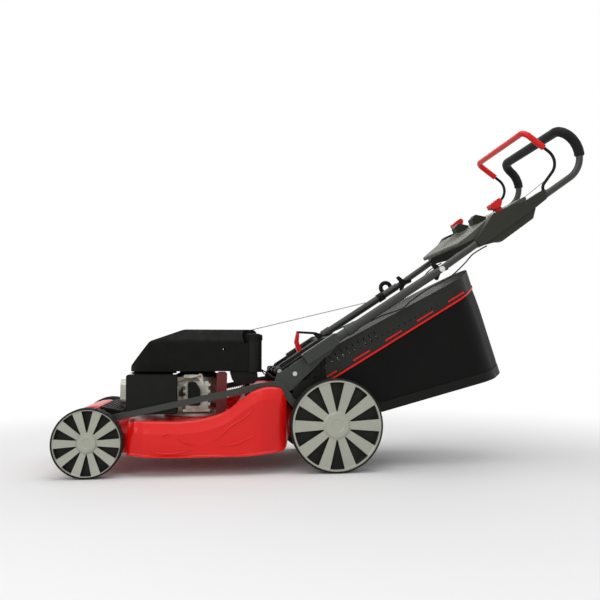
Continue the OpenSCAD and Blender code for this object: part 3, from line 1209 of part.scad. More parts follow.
// Stands a child at the rope's eye with local Z along the pull.
module at_eye() { translate(rope_eye) rotate([0, 90 - grip_a, 0]) children(); }
module starter_rope() {
    color("#b9b9ae") placed() {
        rope_leg(rope_start, rope_eye, rope_r);
        translate(rope_eye) sphere(r = rope_r + 0.5);
        rope_leg(rope_eye, rope_eye + grip_dir * grip_stem, rope_r);
    }
}
module starter_grip() {
    color("#151513") placed() {
        at_eye() translate([0, 0, grip_stem + 0.1]) cylinder(r1 = eye_r, r2 = 6, h = 14);
        at_eye() translate([0, 0, grip_stem + 12]) cylinder(r1 = 6, r2 = 9, h = grip_reach - grip_ring_r - grip_stem - 12);
        translate(rope_eye + grip_dir * grip_reach) rotate([90, 0, 0]) rotate_extrude() translate([grip_ring_r, 0]) circle(grip_wire_r);
    }
}
guide_at = 414;
guide_len = 26;
module rope_guide() {
    color("#1a1a18") placed() {
        translate([tube_foot.x, tube_y, tube_foot.y]) rotate([0, 90 - lower_slope, 0]) translate([0, 0, guide_at]) difference() {
            cylinder(r = lower_r + 3, h = guide_len);
            translate([0, 0, -1]) cylinder(r = lower_r + run_gap, h = guide_len + 2);
        }
        // Eye on an arm beside the tube
        at_eye() rotate_extrude() translate([eye_r, 0]) circle(eye_wire_r);
        bar_y([rope_eye.x, rope_eye.z], 3, tube_y + lower_r - 0.2, rope_eye.y - eye_r);
        // Tail on the inner side, with its screw head
        bar_y(tube_foot + 424.4 * low_dir, 7, tube_y - lower_r - 6, tube_y - lower_r - 2);
    }
}

// ---- Cables ----
function ring_points(path, i, r) =
    let (n = len(path), a = path[max(i - 1, 0)], b = path[min(i + 1, n - 1)], t = unit(b - a))
    let (u = unit(cross(t, [0.2, 1, 0.1])), v = cross(t, u))
    [for (k = [0:7]) path[i] + r * (cos(45 * k) * u + sin(45 * k) * v)];
module cable(path, r) {
    n = len(path);
    polyhedron(
        points = [for (i = [0:n - 1]) each ring_points(path, i, r)],
        faces = concat(
            [[for (k = [7:-1:0]) k], [for (k = [0:7]) (n - 1) * 8 + k]],
            [for (i = [0:n - 2]) for (k = [0:7]) let (a = i * 8 + k, b = i * 8 + (k + 1) % 8) [a, b, b + 8, a + 8]]),
        convexity = 6);
}
function spline(p, n = 5) = concat([for (i = [0:len(p) - 2]) for (k = [0:n - 1])
    let (a = p[max(i - 1, 0)], b = p[i], c = p[i + 1], d = p[min(i + 2, len(p) - 1)], t = k / n)
    0.5 * ((2 * b) + (c - a) * t + (2 * a - 5 * b + 4 * c - d) * t * t + (3 * b - a - 3 * c + d) * t * t * t)],
    [p[len(p) - 1]]);
// The route's stretches: beside the upper tube and the lower tube, from the fold pin, and by the tube's foot
low_n = [-low_dir.y, low_dir.x];
cable_top = concat(
    [for (p = [[175, -25], [151, -22], [116, -21], [76, -30], [11, -37]]) fold_pin + p.x * up_dir + p.y * up_n],
    [for (p = [[-65, -30], [-139, -32], [-171, -37], [-239, -21], [-304, -12]]) fold_pin + p.x * low_dir + p.y * low_n],
    [for (p = [[116, 79], [71, 51], [11, 11], [-29, -13], [-57, -39]]) tube_foot + p]);
cable_in = [6, 6, 6, 6, 6, 7, 8, 10, 14, 19, 32, 39, 39, 36, 32];
function cable_run(side) = [for (i = [0:len(cable_top) - 1]) [cable_top[i].x, side * (tube_y - cable_in[i]), cable_top[i].y]];
cable_r = 2.2;
shroud_back_x = engine_x + 198 + cable_r / 2;
module brake_cable() {
    wire_y = -bail_y + bail_r + 1.4;
    bail_link = [bail_pin.x + 15, wire_y, bail_pin.y + 45];
    bail_stop = [fold_pin.x + 388 * up_dir.x + 30 * up_n.x, wire_y, fold_pin.y + 388 * up_dir.y + 30 * up_n.y];
    color("#121211") placed() {
        cable(spline(concat(cable_run(-1), [[545, -176, 280], [528, -140, 292], [shroud_back_x, -110, 306]])), cable_r);
        // Short wire from the bail to the console
        cable([bail_link, (bail_link + bail_stop) / 2, bail_stop], 0.9);
    }
}
module control_cable() {
    color("#121211") placed()
        cable(spline(concat(cable_run(1), [[545, 176, 280], [528, 110, 292], [shroud_back_x, 60, 312]])), cable_r);
}

deck_shell();
front_trim();
discharge_frame();
link_bar();
handle_brackets();
front_axle();
rear_axle();
height_lever();
front_left_wheel();
front_right_wheel();
rear_left_wheel();
rear_right_wheel();
front_left_hubcap();
front_right_hubcap();
rear_left_hubcap();
rear_right_hubcap();
crankcase();
engine_cylinder();
rocker_cover();
engine_shroud();
fuel_tank();
fuel_cap();
air_filter_base();
air_filter_cover();
carburettor();
muffler();
spark_plug();
governor_lever();
governor_rods();
side_cover();
oil_filler();
flywheel();
crankshaft();
blade_adapter();
blade();
blade_bolt();
lower_tubes();
handle_bolts();
left_fold_knob();
right_fold_knob();
upper_handle();
handle_foam();
console_panel();
console_shrouds();
throttle_lever();
drive_lever();
bail_wire();
bail_sleeve();
rope_guide();
starter_rope();
starter_grip();
brake_cable();
control_cable();
rear_flap();
flap_handle();
flap_rod();
bag_cover();
bag_fabric();
bag_tray();
bag_trim();
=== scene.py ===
import bpy
import json
import math
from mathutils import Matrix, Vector

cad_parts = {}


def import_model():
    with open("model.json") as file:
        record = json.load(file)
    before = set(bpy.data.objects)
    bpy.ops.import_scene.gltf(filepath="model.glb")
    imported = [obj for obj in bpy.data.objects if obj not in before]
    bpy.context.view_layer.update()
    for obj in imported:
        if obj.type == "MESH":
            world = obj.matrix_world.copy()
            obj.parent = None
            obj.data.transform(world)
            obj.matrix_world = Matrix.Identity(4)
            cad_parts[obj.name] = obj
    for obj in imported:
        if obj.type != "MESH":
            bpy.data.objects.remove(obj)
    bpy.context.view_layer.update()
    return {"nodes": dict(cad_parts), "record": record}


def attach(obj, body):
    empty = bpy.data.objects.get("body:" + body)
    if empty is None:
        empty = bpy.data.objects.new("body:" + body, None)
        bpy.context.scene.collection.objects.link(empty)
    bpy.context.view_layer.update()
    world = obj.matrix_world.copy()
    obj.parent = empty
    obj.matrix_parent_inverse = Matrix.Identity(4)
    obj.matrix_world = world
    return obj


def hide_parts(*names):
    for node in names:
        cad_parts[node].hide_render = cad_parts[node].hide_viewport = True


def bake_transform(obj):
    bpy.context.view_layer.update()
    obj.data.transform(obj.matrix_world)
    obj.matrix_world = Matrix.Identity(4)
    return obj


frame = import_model()
nodes = frame["nodes"]

MM = 0.001
X_MID = 734.456  # front axle to the middle of the mower, in millimetres


def at(x, y, z):
    """A place in the row frame, in metres, from millimetres behind the front axle, across and up."""
    return Vector(((x - X_MID) * MM, y * MM, z * MM))


# ---------------------------------------------------------------- materials


def srgb(r, g, b):
    """An 8-bit display colour as linear RGBA."""
    def lin(c):
        c /= 255.0
        return c / 12.92 if c <= 0.04045 else ((c + 0.055) / 1.055) ** 2.4
    return (lin(r), lin(g), lin(b), 1.0)


def shade(c, k):
    return (c[0] * k, c[1] * k, c[2] * k, 1.0)


class Mat:
    """A principled material that is built up from procedural layers in object space."""

    def __init__(self, name, color, rough=0.5, metal=0.0, coat=0.0, coat_rough=0.05, spec=0.5, sheen=0.0):
        self.m = bpy.data.materials.new(name)
        self.m.use_nodes = True
        self.t = self.m.node_tree
        self.b = self.t.nodes["Principled BSDF"]
        self.color = color
        self.rough = rough
        self.b.inputs["Base Color"].default_value = color
        self.b.inputs["Roughness"].default_value = rough
        self.b.inputs["Metallic"].default_value = metal
        self.b.inputs["Coat Weight"].default_value = coat
        self.b.inputs["Coat Roughness"].default_value = coat_rough
        self.b.inputs["Specular IOR Level"].default_value = spec
        self.b.inputs["Sheen Weight"].default_value = sheen
        self.co = self.node("ShaderNodeTexCoord").outputs["Object"]
        self.normal = None

    def node(self, kind, **values):
        n = self.t.nodes.new(kind)
        for k, v in values.items():
            setattr(n, k, v)
        return n

    def link(self, a, b):
        self.t.links.new(a, b)

    def noise(self, scale, detail=3.0, rough=0.55, stretch=None):
        n = self.node("ShaderNodeTexNoise")
        n.inputs["Scale"].default_value = scale
        n.inputs["Detail"].default_value = detail
        n.inputs["Roughness"].default_value = rough
        self.link(self.mapped(stretch), n.inputs["Vector"])
        return n.outputs["Fac"]

    def mapped(self, stretch=None, turn=(0, 0, 0)):
        if stretch is None and turn == (0, 0, 0):
            return self.co
        m = self.node("ShaderNodeMapping")
        m.inputs["Scale"].default_value = stretch or (1, 1, 1)
        m.inputs["Rotation"].default_value = turn
        self.link(self.co, m.inputs["Vector"])
        return m.outputs["Vector"]

    def ranged(self, fac, a, b, lo, hi):
        n = self.node("ShaderNodeMapRange")
        n.inputs["From Min"].default_value = a
        n.inputs["From Max"].default_value = b
        n.inputs["To Min"].default_value = lo
        n.inputs["To Max"].default_value = hi
        self.link(fac, n.inputs["Value"])
        return n.outputs["Result"]

    def tint(self, fac, color, amount=1.0):
        """Mixes a colour over the base colour where fac is high."""
        mix = self.node("ShaderNodeMix", data_type="RGBA")
        base = self.b.inputs["Base Color"]
        if base.is_linked:
            self.link(base.links[0].from_socket, mix.inputs["A"])
        else:
            mix.inputs["A"].default_value = self.color
        mix.inputs["B"].default_value = color
        self.link(self.ranged(fac, 0, 1, 0, amount), mix.inputs["Factor"])
        self.link(mix.outputs["Result"], base)
        return self

    def mottle(self, scale, k=0.85, lo=0.4, hi=0.65, stretch=None):
        return self.tint(self.ranged(self.noise(scale, stretch=stretch), lo, hi, 0, 1), shade(self.color, k))

    def rough_noise(self, scale, spread=0.08, stretch=None):
        spots = self.noise(scale, stretch=stretch)
        rough = self.ranged(spots, 0.3, 0.7, self.rough - spread, self.rough + spread)
        self.link(rough, self.b.inputs["Roughness"])
        return self

    def bump(self, height, strength=0.3, distance=0.0005):
        n = self.node("ShaderNodeBump")
        n.inputs["Strength"].default_value = strength
        n.inputs["Distance"].default_value = distance
        self.link(height, n.inputs["Height"])
        if self.normal:
            self.link(self.normal, n.inputs["Normal"])
        self.normal = n.outputs["Normal"]
        self.link(self.normal, self.b.inputs["Normal"])
        return self

    def grain(self, scale, strength=0.2, distance=0.0003, stretch=None, detail=4.0):
        return self.bump(self.noise(scale, detail=detail, stretch=stretch), strength, distance)

    def done(self):
        return self.m


def moulded(name, color, rough=0.45, spec=0.4, grain=900, strength=0.12, k=0.8):
    """Moulded plastic with a fine spark-eroded grain, slight flow marks and uneven gloss."""
    return (Mat(name, color, rough, spec=spec).mottle(9, k).rough_noise(35, 0.07)
            .grain(grain, strength, 0.0002).grain(14, 0.05, 0.001).done())


M = {}
M["red_paint"] = (Mat("red_paint", srgb(222, 14, 8), 0.36, spec=0.25, coat=0.22, coat_rough=0.08)
                  .mottle(4, 0.93).rough_noise(25, 0.04).grain(700, 0.015, 0.0002).done())
M["black_plastic"] = moulded("black_plastic", srgb(15, 15, 13), 0.55, 0.16)
M["dark_plastic"] = moulded("dark_plastic", srgb(46, 47, 40), 0.55, 0.2)
M["shroud_plastic"] = moulded("shroud_plastic", srgb(13, 13, 11), 0.65, 0.12, grain=1400, strength=0.2)
M["grey_frame"] = (Mat("grey_frame", srgb(46, 49, 43), 0.42, spec=0.35, coat=0.12, coat_rough=0.25)
                   .mottle(12, 0.85).rough_noise(60, 0.06).grain(1600, 0.08, 0.0002).done())
M["zinc_steel"] = (Mat("zinc_steel", srgb(176, 176, 168), 0.38, metal=0.9).mottle(30, 0.75)
                   .rough_noise(80, 0.1).grain(700, 0.1, 0.0002).done())
M["cast_aluminium"] = (Mat("cast_aluminium", srgb(196, 196, 184), 0.42, metal=0.75).mottle(22, 0.78)
                       .rough_noise(60, 0.12).grain(420, 0.35, 0.0005).grain(90, 0.12, 0.0006).done())
M["tyre_rubber"] = (Mat("tyre_rubber", srgb(24, 24, 22), 0.65, spec=0.25).mottle(20, 0.8)
                    .rough_noise(40, 0.1).grain(800, 0.25, 0.0003).done())
M["hubcap_plastic"] = (Mat("hubcap_plastic", srgb(166, 167, 154), 0.42, metal=0.15, spec=0.5).mottle(7, 0.92)
                       .rough_noise(40, 0.05).grain(1300, 0.07, 0.0002).done())
M["console_grey"] = (Mat("console_grey", srgb(84, 85, 75), 0.55, spec=0.25).mottle(8, 0.85)
                     .rough_noise(40, 0.05).grain(1000, 0.04, 0.0001).done())
M["red_plastic"] = (Mat("red_plastic", srgb(222, 24, 20), 0.4, spec=0.25, coat=0.08, coat_rough=0.15)
                    .mottle(12, 0.88).rough_noise(40, 0.04).grain(900, 0.02, 0.0001).done())
M["foam_rubber"] = (Mat("foam_rubber", srgb(20, 20, 19), 0.75, spec=0.2, sheen=0.08).mottle(30, 0.75)
                    .rough_noise(60, 0.08).grain(1500, 0.5, 0.0004).grain(300, 0.25, 0.0004).done())
M["muffler_steel"] = (Mat("muffler_steel", srgb(86, 80, 74), 0.6, metal=0.6).mottle(18, 0.6)
                      .rough_noise(50, 0.12).grain(500, 0.3, 0.0004).done())
M["rod_brass"] = (Mat("rod_brass", srgb(150, 108, 52), 0.4, metal=0.85).mottle(60, 0.7).rough_noise(90, 0.1)
                  .grain(900, 0.1, 0.0002).done())
M["dark_red_plastic"] = moulded("dark_red_plastic", srgb(104, 18, 18), 0.4)
M["rope_cord"] = (Mat("rope_cord", srgb(176, 176, 166), 0.8, spec=0.2, sheen=0.3).mottle(300, 0.8)
                  .grain(2500, 0.4, 0.0003).done())
M["cable_sheath"] = moulded("cable_sheath", srgb(14, 14, 13), 0.5, 0.3)
M["steel"] = (Mat("steel", srgb(140, 140, 134), 0.4, metal=0.95).mottle(30, 0.6).rough_noise(60, 0.12)
              .grain(300, 0.15, 0.0003, stretch=(0.1, 1, 1)).done())
M["white_cap"] = moulded("white_cap", srgb(226, 226, 220), 0.3)
M["bag_cover"] = moulded("bag_cover", srgb(32, 32, 28), 0.6, 0.25, grain=1200, strength=0.18)
M["bag_fabric"] = (Mat("bag_fabric", srgb(11, 11, 10), 0.88, spec=0.15, sheen=0.08).mottle(14, 0.8)
                   .grain(1200, 0.4, 0.0004).done())

# Nodes whose plastic is darker than the rest of their slot, and nodes with softened edges
FINISH = {"air_filter_cover": "black_plastic"}
SOFTENED = ("air_filter_cover", "fuel_tank", "side_cover", "rocker_cover")

for node in frame["record"]["subparts"]:
    o = nodes[node["node"]]
    o.data.materials.clear()
    o.data.materials.append(M[FINISH.get(node["node"], node["material_slot"])])
    o.data.shade_smooth()
    o.data.set_sharp_from_angle(angle=math.radians(32))
    if node["node"] in SOFTENED:
        edge = o.modifiers.new("edges", "BEVEL")
        edge.width, edge.segments, edge.limit_method = 0.0009, 2, "ANGLE"
        edge.angle_limit = math.radians(40)
        edge.harden_normals = True

# The flap handle's front upright is moulded in red, its bar and rear upright in black
GRIP_BAR_Z, GRIP_MID_X = 0.4175, -0.0655
grip = nodes["flap_handle"]
grip.data.materials.append(M["black_plastic"])
for face in grip.data.polygons:
    if face.center.z > GRIP_BAR_Z or face.center.x > GRIP_MID_X:
        face.material_index = 1

# ---------------------------------------------------------------- mesh helpers


def piece(name, verts, faces, mat, body, angle=40):
    """A smooth-shaded mesh of its own with the given material, attached to a body when one is given."""
    me = bpy.data.meshes.new(name)
    me.from_pydata([tuple(v) for v in verts], [], faces)
    me.validate()
    o = bpy.data.objects.new(name, me)
    bpy.context.scene.collection.objects.link(o)
    me.materials.append(M[mat])
    me.shade_smooth()
    me.set_sharp_from_angle(angle=math.radians(angle))
    if body:
        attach(o, body)
    return o


def spline(points, step=0.006):
    """A smooth curve through the points (Catmull-Rom), in nearly even steps."""
    p = [Vector(q) for q in points]
    p = [2 * p[0] - p[1]] + p + [2 * p[-1] - p[-2]]
    out = []
    for i in range(1, len(p) - 2):
        n = max(2, int((p[i + 1] - p[i]).length / step))
        for k in range(n):
            t = k / n
            a, b, c, d = p[i - 1], p[i], p[i + 1], p[i + 2]
            out.append(0.5 * ((2 * b) + (c - a) * t + (2 * a - 5 * b + 4 * c - d) * t * t
                              + (3 * b - a - 3 * c + d) * t * t * t))
    out.append(p[-2])
    return out


def frames(path):
    """A point, tangent and two normals at each point of the path, carried along without twist."""
    out = []
    n = None
    for i, p in enumerate(path):
        t = (path[min(i + 1, len(path) - 1)] - path[max(i - 1, 0)]).normalized()
        if n is None:
            n = t.orthogonal().normalized()
        n = (n - t * n.dot(t)).normalized()
        out.append((p, t, n, t.cross(n)))
    return out


def sweep(name, path, radius, mat, body, sides=20, lobes=0, lobe=0.0, twist=0.0, angle=60):
    """A tube along the path, its radius a number or a function of 0..1; lobes and twist lay it as a rope."""
    verts, faces = [], []
    fr = frames(path)
    run = 0.0
    total = sum((path[i + 1] - path[i]).length for i in range(len(path) - 1))
    for i, (p, t, a, b) in enumerate(fr):
        if i:
            run += (path[i] - path[i - 1]).length
        r = radius(run / total) if callable(radius) else radius
        for k in range(sides):
            th = 2 * math.pi * k / sides
            rr = r * (1 - lobe + lobe * abs(math.cos(lobes * (th + twist * run) / 2))) if lobes else r
            verts.append(p + (a * math.cos(th) + b * math.sin(th)) * rr)
    for i in range(len(fr) - 1):
        for k in range(sides):
            j = (k + 1) % sides
            faces.append((i * sides + k, i * sides + j, (i + 1) * sides + j, (i + 1) * sides + k))
    faces.append(tuple(reversed(range(sides))))
    faces.append(tuple((len(fr) - 1) * sides + k for k in range(sides)))
    return piece(name, verts, faces, mat, body, angle=angle)


# ---------------------------------------------------------------- bag fabric

BAG_CORNER = (1151.2, 602.0)  # side view, top of the lid at the rear
STRIPE_DROP = 67
STRIPE_SLOPE = 31.0
STRIPE_GAP = 3.8
FLOOR_SLOPE = 15.0
TRAY_HEIGHT = 31
BAG_LEAN = 18.0
BAG_X = 703.3
FLOOR_X = 880.0


def fabric_top(x):
    """Height of the fabric's top, just under the stripe."""
    rise = (x - BAG_CORNER[0]) * math.tan(math.radians(STRIPE_SLOPE))
    return BAG_CORNER[1] - STRIPE_DROP - STRIPE_GAP + rise


def fabric_low(x):
    """Height of the tray's top, level in front and rising behind FLOOR_X."""
    return max(158.0, 173.0 + (x - FLOOR_X) * math.tan(math.radians(FLOOR_SLOPE))) + TRAY_HEIGHT


def fillet(corners):
    """The corners (x, y, radius) as a rounded open line of (x, y), with its normals' turning kept even."""
    out = [Vector(corners[0][:2])]
    for i in range(1, len(corners) - 1):
        a, b, c = (Vector(corners[i + k][:2]) for k in (-1, 0, 1))
        r = corners[i][2]
        u, v = (b - a).normalized(), (c - b).normalized()
        turn = u.angle(v)
        t = r * math.tan(turn / 2)
        side = 1 if u.x * v.y - u.y * v.x > 0 else -1
        centre = b - u * t + Vector((-u.y, u.x)) * side * r
        n = max(3, int(r * turn / 7))
        for k in range(n + 1):
            th = turn * k / n * side
            d = b - u * t - centre
            cs, sn = math.cos(th), math.sin(th)
            out.append(centre + Vector((d.x * cs - d.y * sn, d.x * sn + d.y * cs)))
    out.append(Vector(corners[-1][:2]))
    return out


def bag_place(px, py, s):
    """A place of the leaning plan: px and py in the plan, s along the leaning line."""
    c, d = math.cos(math.radians(BAG_LEAN)), math.sin(math.radians(BAG_LEAN))
    return BAG_CORNER[0] + px * c - s * d, py, BAG_CORNER[1] + px * d + s * c


def s_for(px, edge):
    """How far along the leaning line the edge's height is met."""
    lo, hi = -690.0, 100.0
    for _ in range(40):
        mid = (lo + hi) / 2
        x, _y, z = bag_place(px, 0, mid)
        if z > edge(x):
            hi = mid
        else:
            lo = mid
    return (lo + hi) / 2


def bag_fabric():
    """The bag's cloth, lofted between the stripe and the tray round the leaning plan."""
    w, x1 = 198.0, -2.0  # half width, and the plan's rear edge before its bulge
    rows = 26
    plan = fillet([(-120, -w, 0), (x1 - 12, -w, 80), (x1 + 60.1, -w / 2, 240), (x1 + 97, 0, 165),
                   (x1 + 60.1, w / 2, 240), (x1 - 12, w, 80), (-120, w, 0)])
    start = plan[1].x
    columns = []
    n = 44
    for side in (-1, 1):
        top = bag_place(start, 0, s_for(start, fabric_top))
        low = bag_place(start, 0, s_for(start, fabric_low))
        cols = []
        for i in range(n):
            u = i / n
            xt, xl = BAG_X + (top[0] - BAG_X) * u, BAG_X + (low[0] - BAG_X) * u
            zt, zl = fabric_top(xt), fabric_low(xl)
            cols.append([(xl + (xt - xl) * v, side * w, zl + (zt - zl) * v, 0.0, side * 1.0)
                         for v in (k / rows for k in range(rows + 1))])
        if side < 0:
            columns += cols
            mid = plan[1:-1]
            for k, q in enumerate(mid):
                a, b = mid[max(k - 1, 0)], mid[min(k + 1, len(mid) - 1)]
                t = (b - a).normalized()
                st, sl = s_for(q.x, fabric_top), s_for(q.x, fabric_low)
                columns.append([(*bag_place(q.x, q.y, sl + (st - sl) * v), t.y, -t.x)
                                for v in (j / rows for j in range(rows + 1))])
        else:
            columns += cols[::-1]
    verts, faces = [], []
    m = len(columns)
    for i, col in enumerate(columns):
        for k, (x, y, z, nx, ny) in enumerate(col):
            v = k / rows
            # Hung from the stripe and drawn tight over the tray, with soft folds running down
            hold = math.sin(math.pi * v) ** 0.7
            hang = 2.2 * hold
            fold = 1.1 * hold * math.sin(i * 0.55 + 1.3 * math.sin(i * 0.17 + 2 * v)) * (0.4 + 0.6 * v)
            drag = 0.9 * hold * math.sin(i * 0.21 - 6 * v)
            out = hang + fold + drag
            verts.append(at(x + nx * out, y + ny * out, z))
    for i in range(m - 1):
        for k in range(rows):
            a = i * (rows + 1) + k
            faces.append((a, a + rows + 1, a + rows + 2, a + 1))
    o = piece("bag_fabric_cloth", verts, faces, "bag_fabric", "bag", angle=80)
    solid = o.modifiers.new("thickness", "SOLIDIFY")
    solid.thickness = 0.0016
    solid.offset = -1
    sub = o.modifiers.new("smooth", "SUBSURF")
    sub.levels = sub.render_levels = 1
    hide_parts("bag_fabric")


# ---------------------------------------------------------------- grip foam

FOLD_PIN = (1069.30, 620.94)
UP = 35.0  # slope of the upper tubes
UPPER_LEN = 545
GRIP_R = 86  # radius of the bend below the grip
TUBE_Y = 222.0
CROSS_R = 42
FOAM_FROM, FOAM_TO = 92, 140  # angles of the bend that the foam starts and ends at


def foam_path():
    """The middle line of the foam: down one side's bend, round the corner and across to the other side."""
    a = math.radians(UP)
    foot = (FOLD_PIN[0] + UPPER_LEN * math.cos(a), FOLD_PIN[1] + UPPER_LEN * math.sin(a))
    c = (foot[0] - GRIP_R * math.sin(a), foot[1] + GRIP_R * math.cos(a))
    turns = [math.radians(FOAM_FROM + (FOAM_TO - FOAM_FROM) * k / 16) for k in range(17)]
    side = [(c[0] + GRIP_R * math.sin(t), -TUBE_Y, c[1] - GRIP_R * math.cos(t)) for t in turns]
    d = (math.cos(turns[-1]), math.sin(turns[-1]))
    e = side[-1]
    corner = []
    for k in range(1, 11):
        t = math.radians(90 * k / 10)
        reach = CROSS_R * math.sin(t)
        corner.append((e[0] + d[0] * reach, -TUBE_Y + CROSS_R * (1 - math.cos(t)), e[2] + d[1] * reach))
    half = side + corner
    x, y, z = half[-1]
    mid = [(x, y * (1 - 2 * k / 40), z) for k in range(1, 40)]
    back = [(q[0], -q[1], q[2]) for q in reversed(half)]
    return [at(*q) for q in half + mid + back]


def foam():
    """The soft grip, with a lip rounded over at both ends."""
    def r(t):
        end = min(t, 1 - t) * 640  # millimetres from the nearer end, roughly
        lip = 16.2 if end > 4 else 13.2 + 3.0 * math.sqrt(max(0.0, 1 - (1 - end / 4) ** 2))
        return (lip + 0.18 * math.sin(t * 210)) * MM
    o = sweep("grip_foam", foam_path(), r, "foam_rubber", "upper_handle", sides=28)
    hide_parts("handle_foam")


# ---------------------------------------------------------------- rope and cables

def along(start, degrees, points):
    """Points given along a tube and square to it, as side-view places."""
    c, d = math.cos(math.radians(degrees)), math.sin(math.radians(degrees))
    return [(start[0] + a * c - n * d, start[1] + a * d + n * c) for a, n in points]


# Beside the upper tube and the lower tube, measured from the fold pin, and by the tube's foot
LOWER_SLOPE = 33
TUBE_FOOT = (629, 335)
CABLE_TOP = (along(FOLD_PIN, UP, [(175, -25), (151, -22), (116, -21), (76, -30), (11, -37)])
             + along(FOLD_PIN, LOWER_SLOPE, [(-65, -30), (-139, -32), (-171, -37), (-239, -21), (-304, -12)])
             + along(TUBE_FOOT, 0, [(116, 79), (71, 51), (11, 11), (-29, -13), (-57, -39)]))
CABLE_OUT = [216, 216, 216, 216, 216, 215, 214, 212, 208, 203, 190, 183, 183, 186, 190]


def cable(name, side, tail, node):
    """A cable along one tube, routed past the handle's fold joint."""
    route = [at(x, side * out, z) for (x, z), out in zip(CABLE_TOP, CABLE_OUT)] + [at(*p) for p in tail]
    o = sweep(name, spline(route, 0.008), 0.0022, "cable_sheath", None, sides=14)
    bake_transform(o)
    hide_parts(node)
    return o


def rope():
    """The laid starter rope, from inside the shroud to its eye and a little way into the grip."""
    eye = at(989, 260, 561)
    exit_ = at(470, 25, 431)
    d = (eye - exit_).normalized()
    run = (exit_ - d * 0.020, eye)
    n = 420
    path = [run[0].lerp(run[1], k / n) for k in range(n + 1)]
    g = Vector((math.cos(math.radians(59)), 0, math.sin(math.radians(59))))
    path += [eye + g * 0.0004 * k for k in range(1, 12)]
    o = sweep("starter_rope_laid", path, 0.0016, "rope_cord", None,
              sides=12, lobes=3, lobe=0.28, twist=900, angle=70)
    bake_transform(o)
    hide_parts("starter_rope")


def bail_wire_end():
    """The thin wire from the bail to the console."""
    y = -187.6
    a, b = at(1452.4, y, 933.5), at(1369.9, y, 868.0)
    path = [a.lerp(b, k / 24) for k in range(25)]
    o = sweep("bail_pull_wire", path, 0.0009, "cable_sheath", None, sides=10)
    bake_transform(o)


DECK_SIDE_Y = 261.4  # the ridges' middle lines, just outside the deck's wall


def swoosh_r(t):
    """Radius of a ridge, fading out at both ends."""
    return (1.0 + 2.6 * math.sin(math.pi * t) ** 0.7) * MM


def swooshes():
    """Ridges pressed outward in the deck's sides, in the side view's x and z."""
    lines = [[(206, 116), (219, 122), (232, 122)], [(253, 114), (270, 103), (300, 89)],
             [(175, 78), (203, 69), (243, 67), (295, 74)],
             [(474, 193), (450, 168), (408, 143), (381, 118), (357, 100)],
             [(482, 120), (461, 107), (420, 91), (369, 87)]]
    for i, line in enumerate(lines):
        for side, name in ((-1, "left"), (1, "right")):
            path = spline([at(x, side * DECK_SIDE_Y, z) for x, z in line], 0.004)
            sweep("deck_swoosh_%s_%d" % (name, i + 1), path, swoosh_r, "red_paint", "chassis", sides=16)


bag_fabric()
foam()
swooshes()
bail_wire_end()
cable("brake_cable_sheath", -1, [(545, -176, 280), (528, -140, 292), (505, -110, 306)], "brake_cable")
cable("control_cable_sheath", 1, [(545, 176, 280), (528, 110, 292), (505, 60, 312)], "control_cable")
rope()

# ---------------------------------------------------------------- stage


def stage():
    """A pale floor that fades into the background."""
    me = bpy.data.meshes.new("floor")
    s = 14.0
    me.from_pydata([(-s, -s, 0), (s, -s, 0), (s, s, 0), (-s, s, 0)], [], [(0, 1, 2, 3)])
    floor = bpy.data.objects.new("floor", me)
    bpy.context.scene.collection.objects.link(floor)
    floor.location.z = -0.0005
    m = bpy.data.materials.new("floor")
    m.use_nodes = True
    t = m.node_tree
    b = t.nodes["Principled BSDF"]
    b.inputs["Base Color"].default_value = (0.86, 0.86, 0.86, 1)
    b.inputs["Roughness"].default_value = 0.75
    b.inputs["Specular IOR Level"].default_value = 0.15
    out = t.nodes["Material Output"]
    white = t.nodes.new("ShaderNodeEmission")
    white.inputs["Color"].default_value = (1, 1, 1, 1)
    white.inputs["Strength"].default_value = 1.0
    # The floor fades to plain white away from the object, for the rays that show the background.
    co = t.nodes.new("ShaderNodeTexCoord")
    length = t.nodes.new("ShaderNodeVectorMath")
    length.operation = "LENGTH"
    fade = t.nodes.new("ShaderNodeMapRange")
    fade.interpolation_type = "SMOOTHSTEP"
    fade.inputs["From Min"].default_value = 0.75
    fade.inputs["From Max"].default_value = 2.3
    path = t.nodes.new("ShaderNodeLightPath")
    seen = t.nodes.new("ShaderNodeMath")
    seen.operation = "MAXIMUM"
    both = t.nodes.new("ShaderNodeMath")
    both.operation = "MULTIPLY"
    mix = t.nodes.new("ShaderNodeMixShader")
    t.links.new(co.outputs["Object"], length.inputs[0])
    t.links.new(length.outputs["Value"], fade.inputs["Value"])
    t.links.new(path.outputs["Is Camera Ray"], seen.inputs[0])
    t.links.new(path.outputs["Is Glossy Ray"], seen.inputs[1])
    t.links.new(fade.outputs["Result"], both.inputs[0])
    t.links.new(seen.outputs["Value"], both.inputs[1])
    t.links.new(both.outputs["Value"], mix.inputs["Fac"])
    t.links.new(b.outputs["BSDF"], mix.inputs[1])
    t.links.new(white.outputs["Emission"], mix.inputs[2])
    t.links.new(mix.outputs["Shader"], out.inputs["Surface"])
    me.materials.append(m)


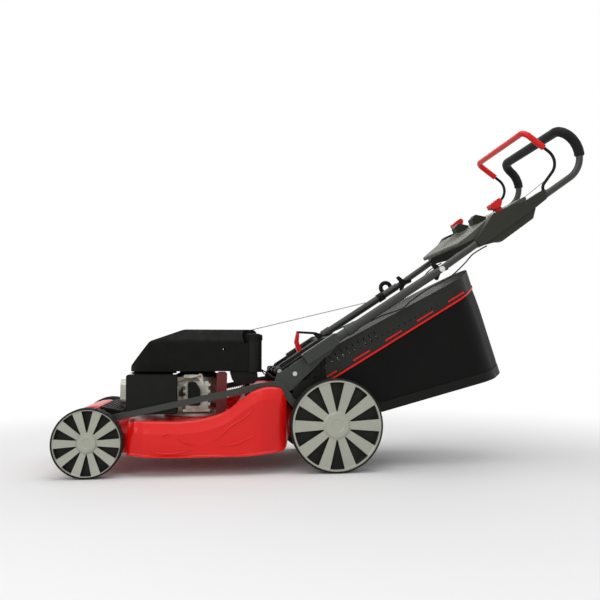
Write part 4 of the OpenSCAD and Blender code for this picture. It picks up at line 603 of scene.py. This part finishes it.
def world():
    """Soft white light, and a plain white background."""
    w = bpy.data.worlds.new("studio")
    bpy.context.scene.world = w
    w.use_nodes = True
    t = w.node_tree
    t.nodes.clear()
    out = t.nodes.new("ShaderNodeOutputWorld")
    light = t.nodes.new("ShaderNodeBackground")
    light.inputs["Color"].default_value = (1, 1, 1, 1)
    light.inputs["Strength"].default_value = 0.55
    back = t.nodes.new("ShaderNodeBackground")
    back.inputs["Color"].default_value = (1, 1, 1, 1)
    back.inputs["Strength"].default_value = 1.0
    path = t.nodes.new("ShaderNodeLightPath")
    a = t.nodes.new("ShaderNodeMath")
    a.operation = "MAXIMUM"
    c = t.nodes.new("ShaderNodeMath")
    c.operation = "MAXIMUM"
    mix = t.nodes.new("ShaderNodeMixShader")
    t.links.new(path.outputs["Is Camera Ray"], a.inputs[0])
    t.links.new(path.outputs["Is Glossy Ray"], a.inputs[1])
    t.links.new(a.outputs["Value"], c.inputs[0])
    t.links.new(path.outputs["Is Transmission Ray"], c.inputs[1])
    t.links.new(c.outputs["Value"], mix.inputs["Fac"])
    t.links.new(light.outputs["Background"], mix.inputs[1])
    t.links.new(back.outputs["Background"], mix.inputs[2])
    t.links.new(mix.outputs["Shader"], out.inputs["Surface"])


def area(name, place, aim, size, watts, size_y):
    """A rectangular lamp at a place, turned to face its aim."""
    d = bpy.data.lights.new(name, "AREA")
    d.energy = watts
    d.size = size
    d.shape = "RECTANGLE"
    d.size_y = size_y
    o = bpy.data.objects.new(name, d)
    bpy.context.scene.collection.objects.link(o)
    o.location = place
    o.rotation_euler = (Vector(aim) - Vector(place)).to_track_quat("-Z", "Y").to_euler()
    return o


def camera():
    """The view from the left side, a little in front of square."""
    d = bpy.data.cameras.new("camera")
    d.sensor_width = 36.0
    d.lens = 40.42
    d.clip_start = 0.01
    o = bpy.data.objects.new("camera", d)
    bpy.context.scene.collection.objects.link(o)
    o.location = (0.3454 - X_MID * MM, -2.2692, 0.3604)
    o.rotation_euler = (math.radians(90 + 4.3939), 0, math.radians(-7.5975))
    bpy.context.scene.camera = o


stage()
world()
camera()
area("top", (-0.3, -0.5, 3.2), (0, 0, 0.3), 3.0, 42, 3.0)
area("front", (-1.6, -3.2, 1.6), (0, 0, 0.4), 1.8, 26, 1.4)
area("back", (1.5, 2.6, 2.2), (0, 0, 0.5), 2.0, 16, 1.2)
bpy.context.scene.view_settings.view_transform = "Standard"
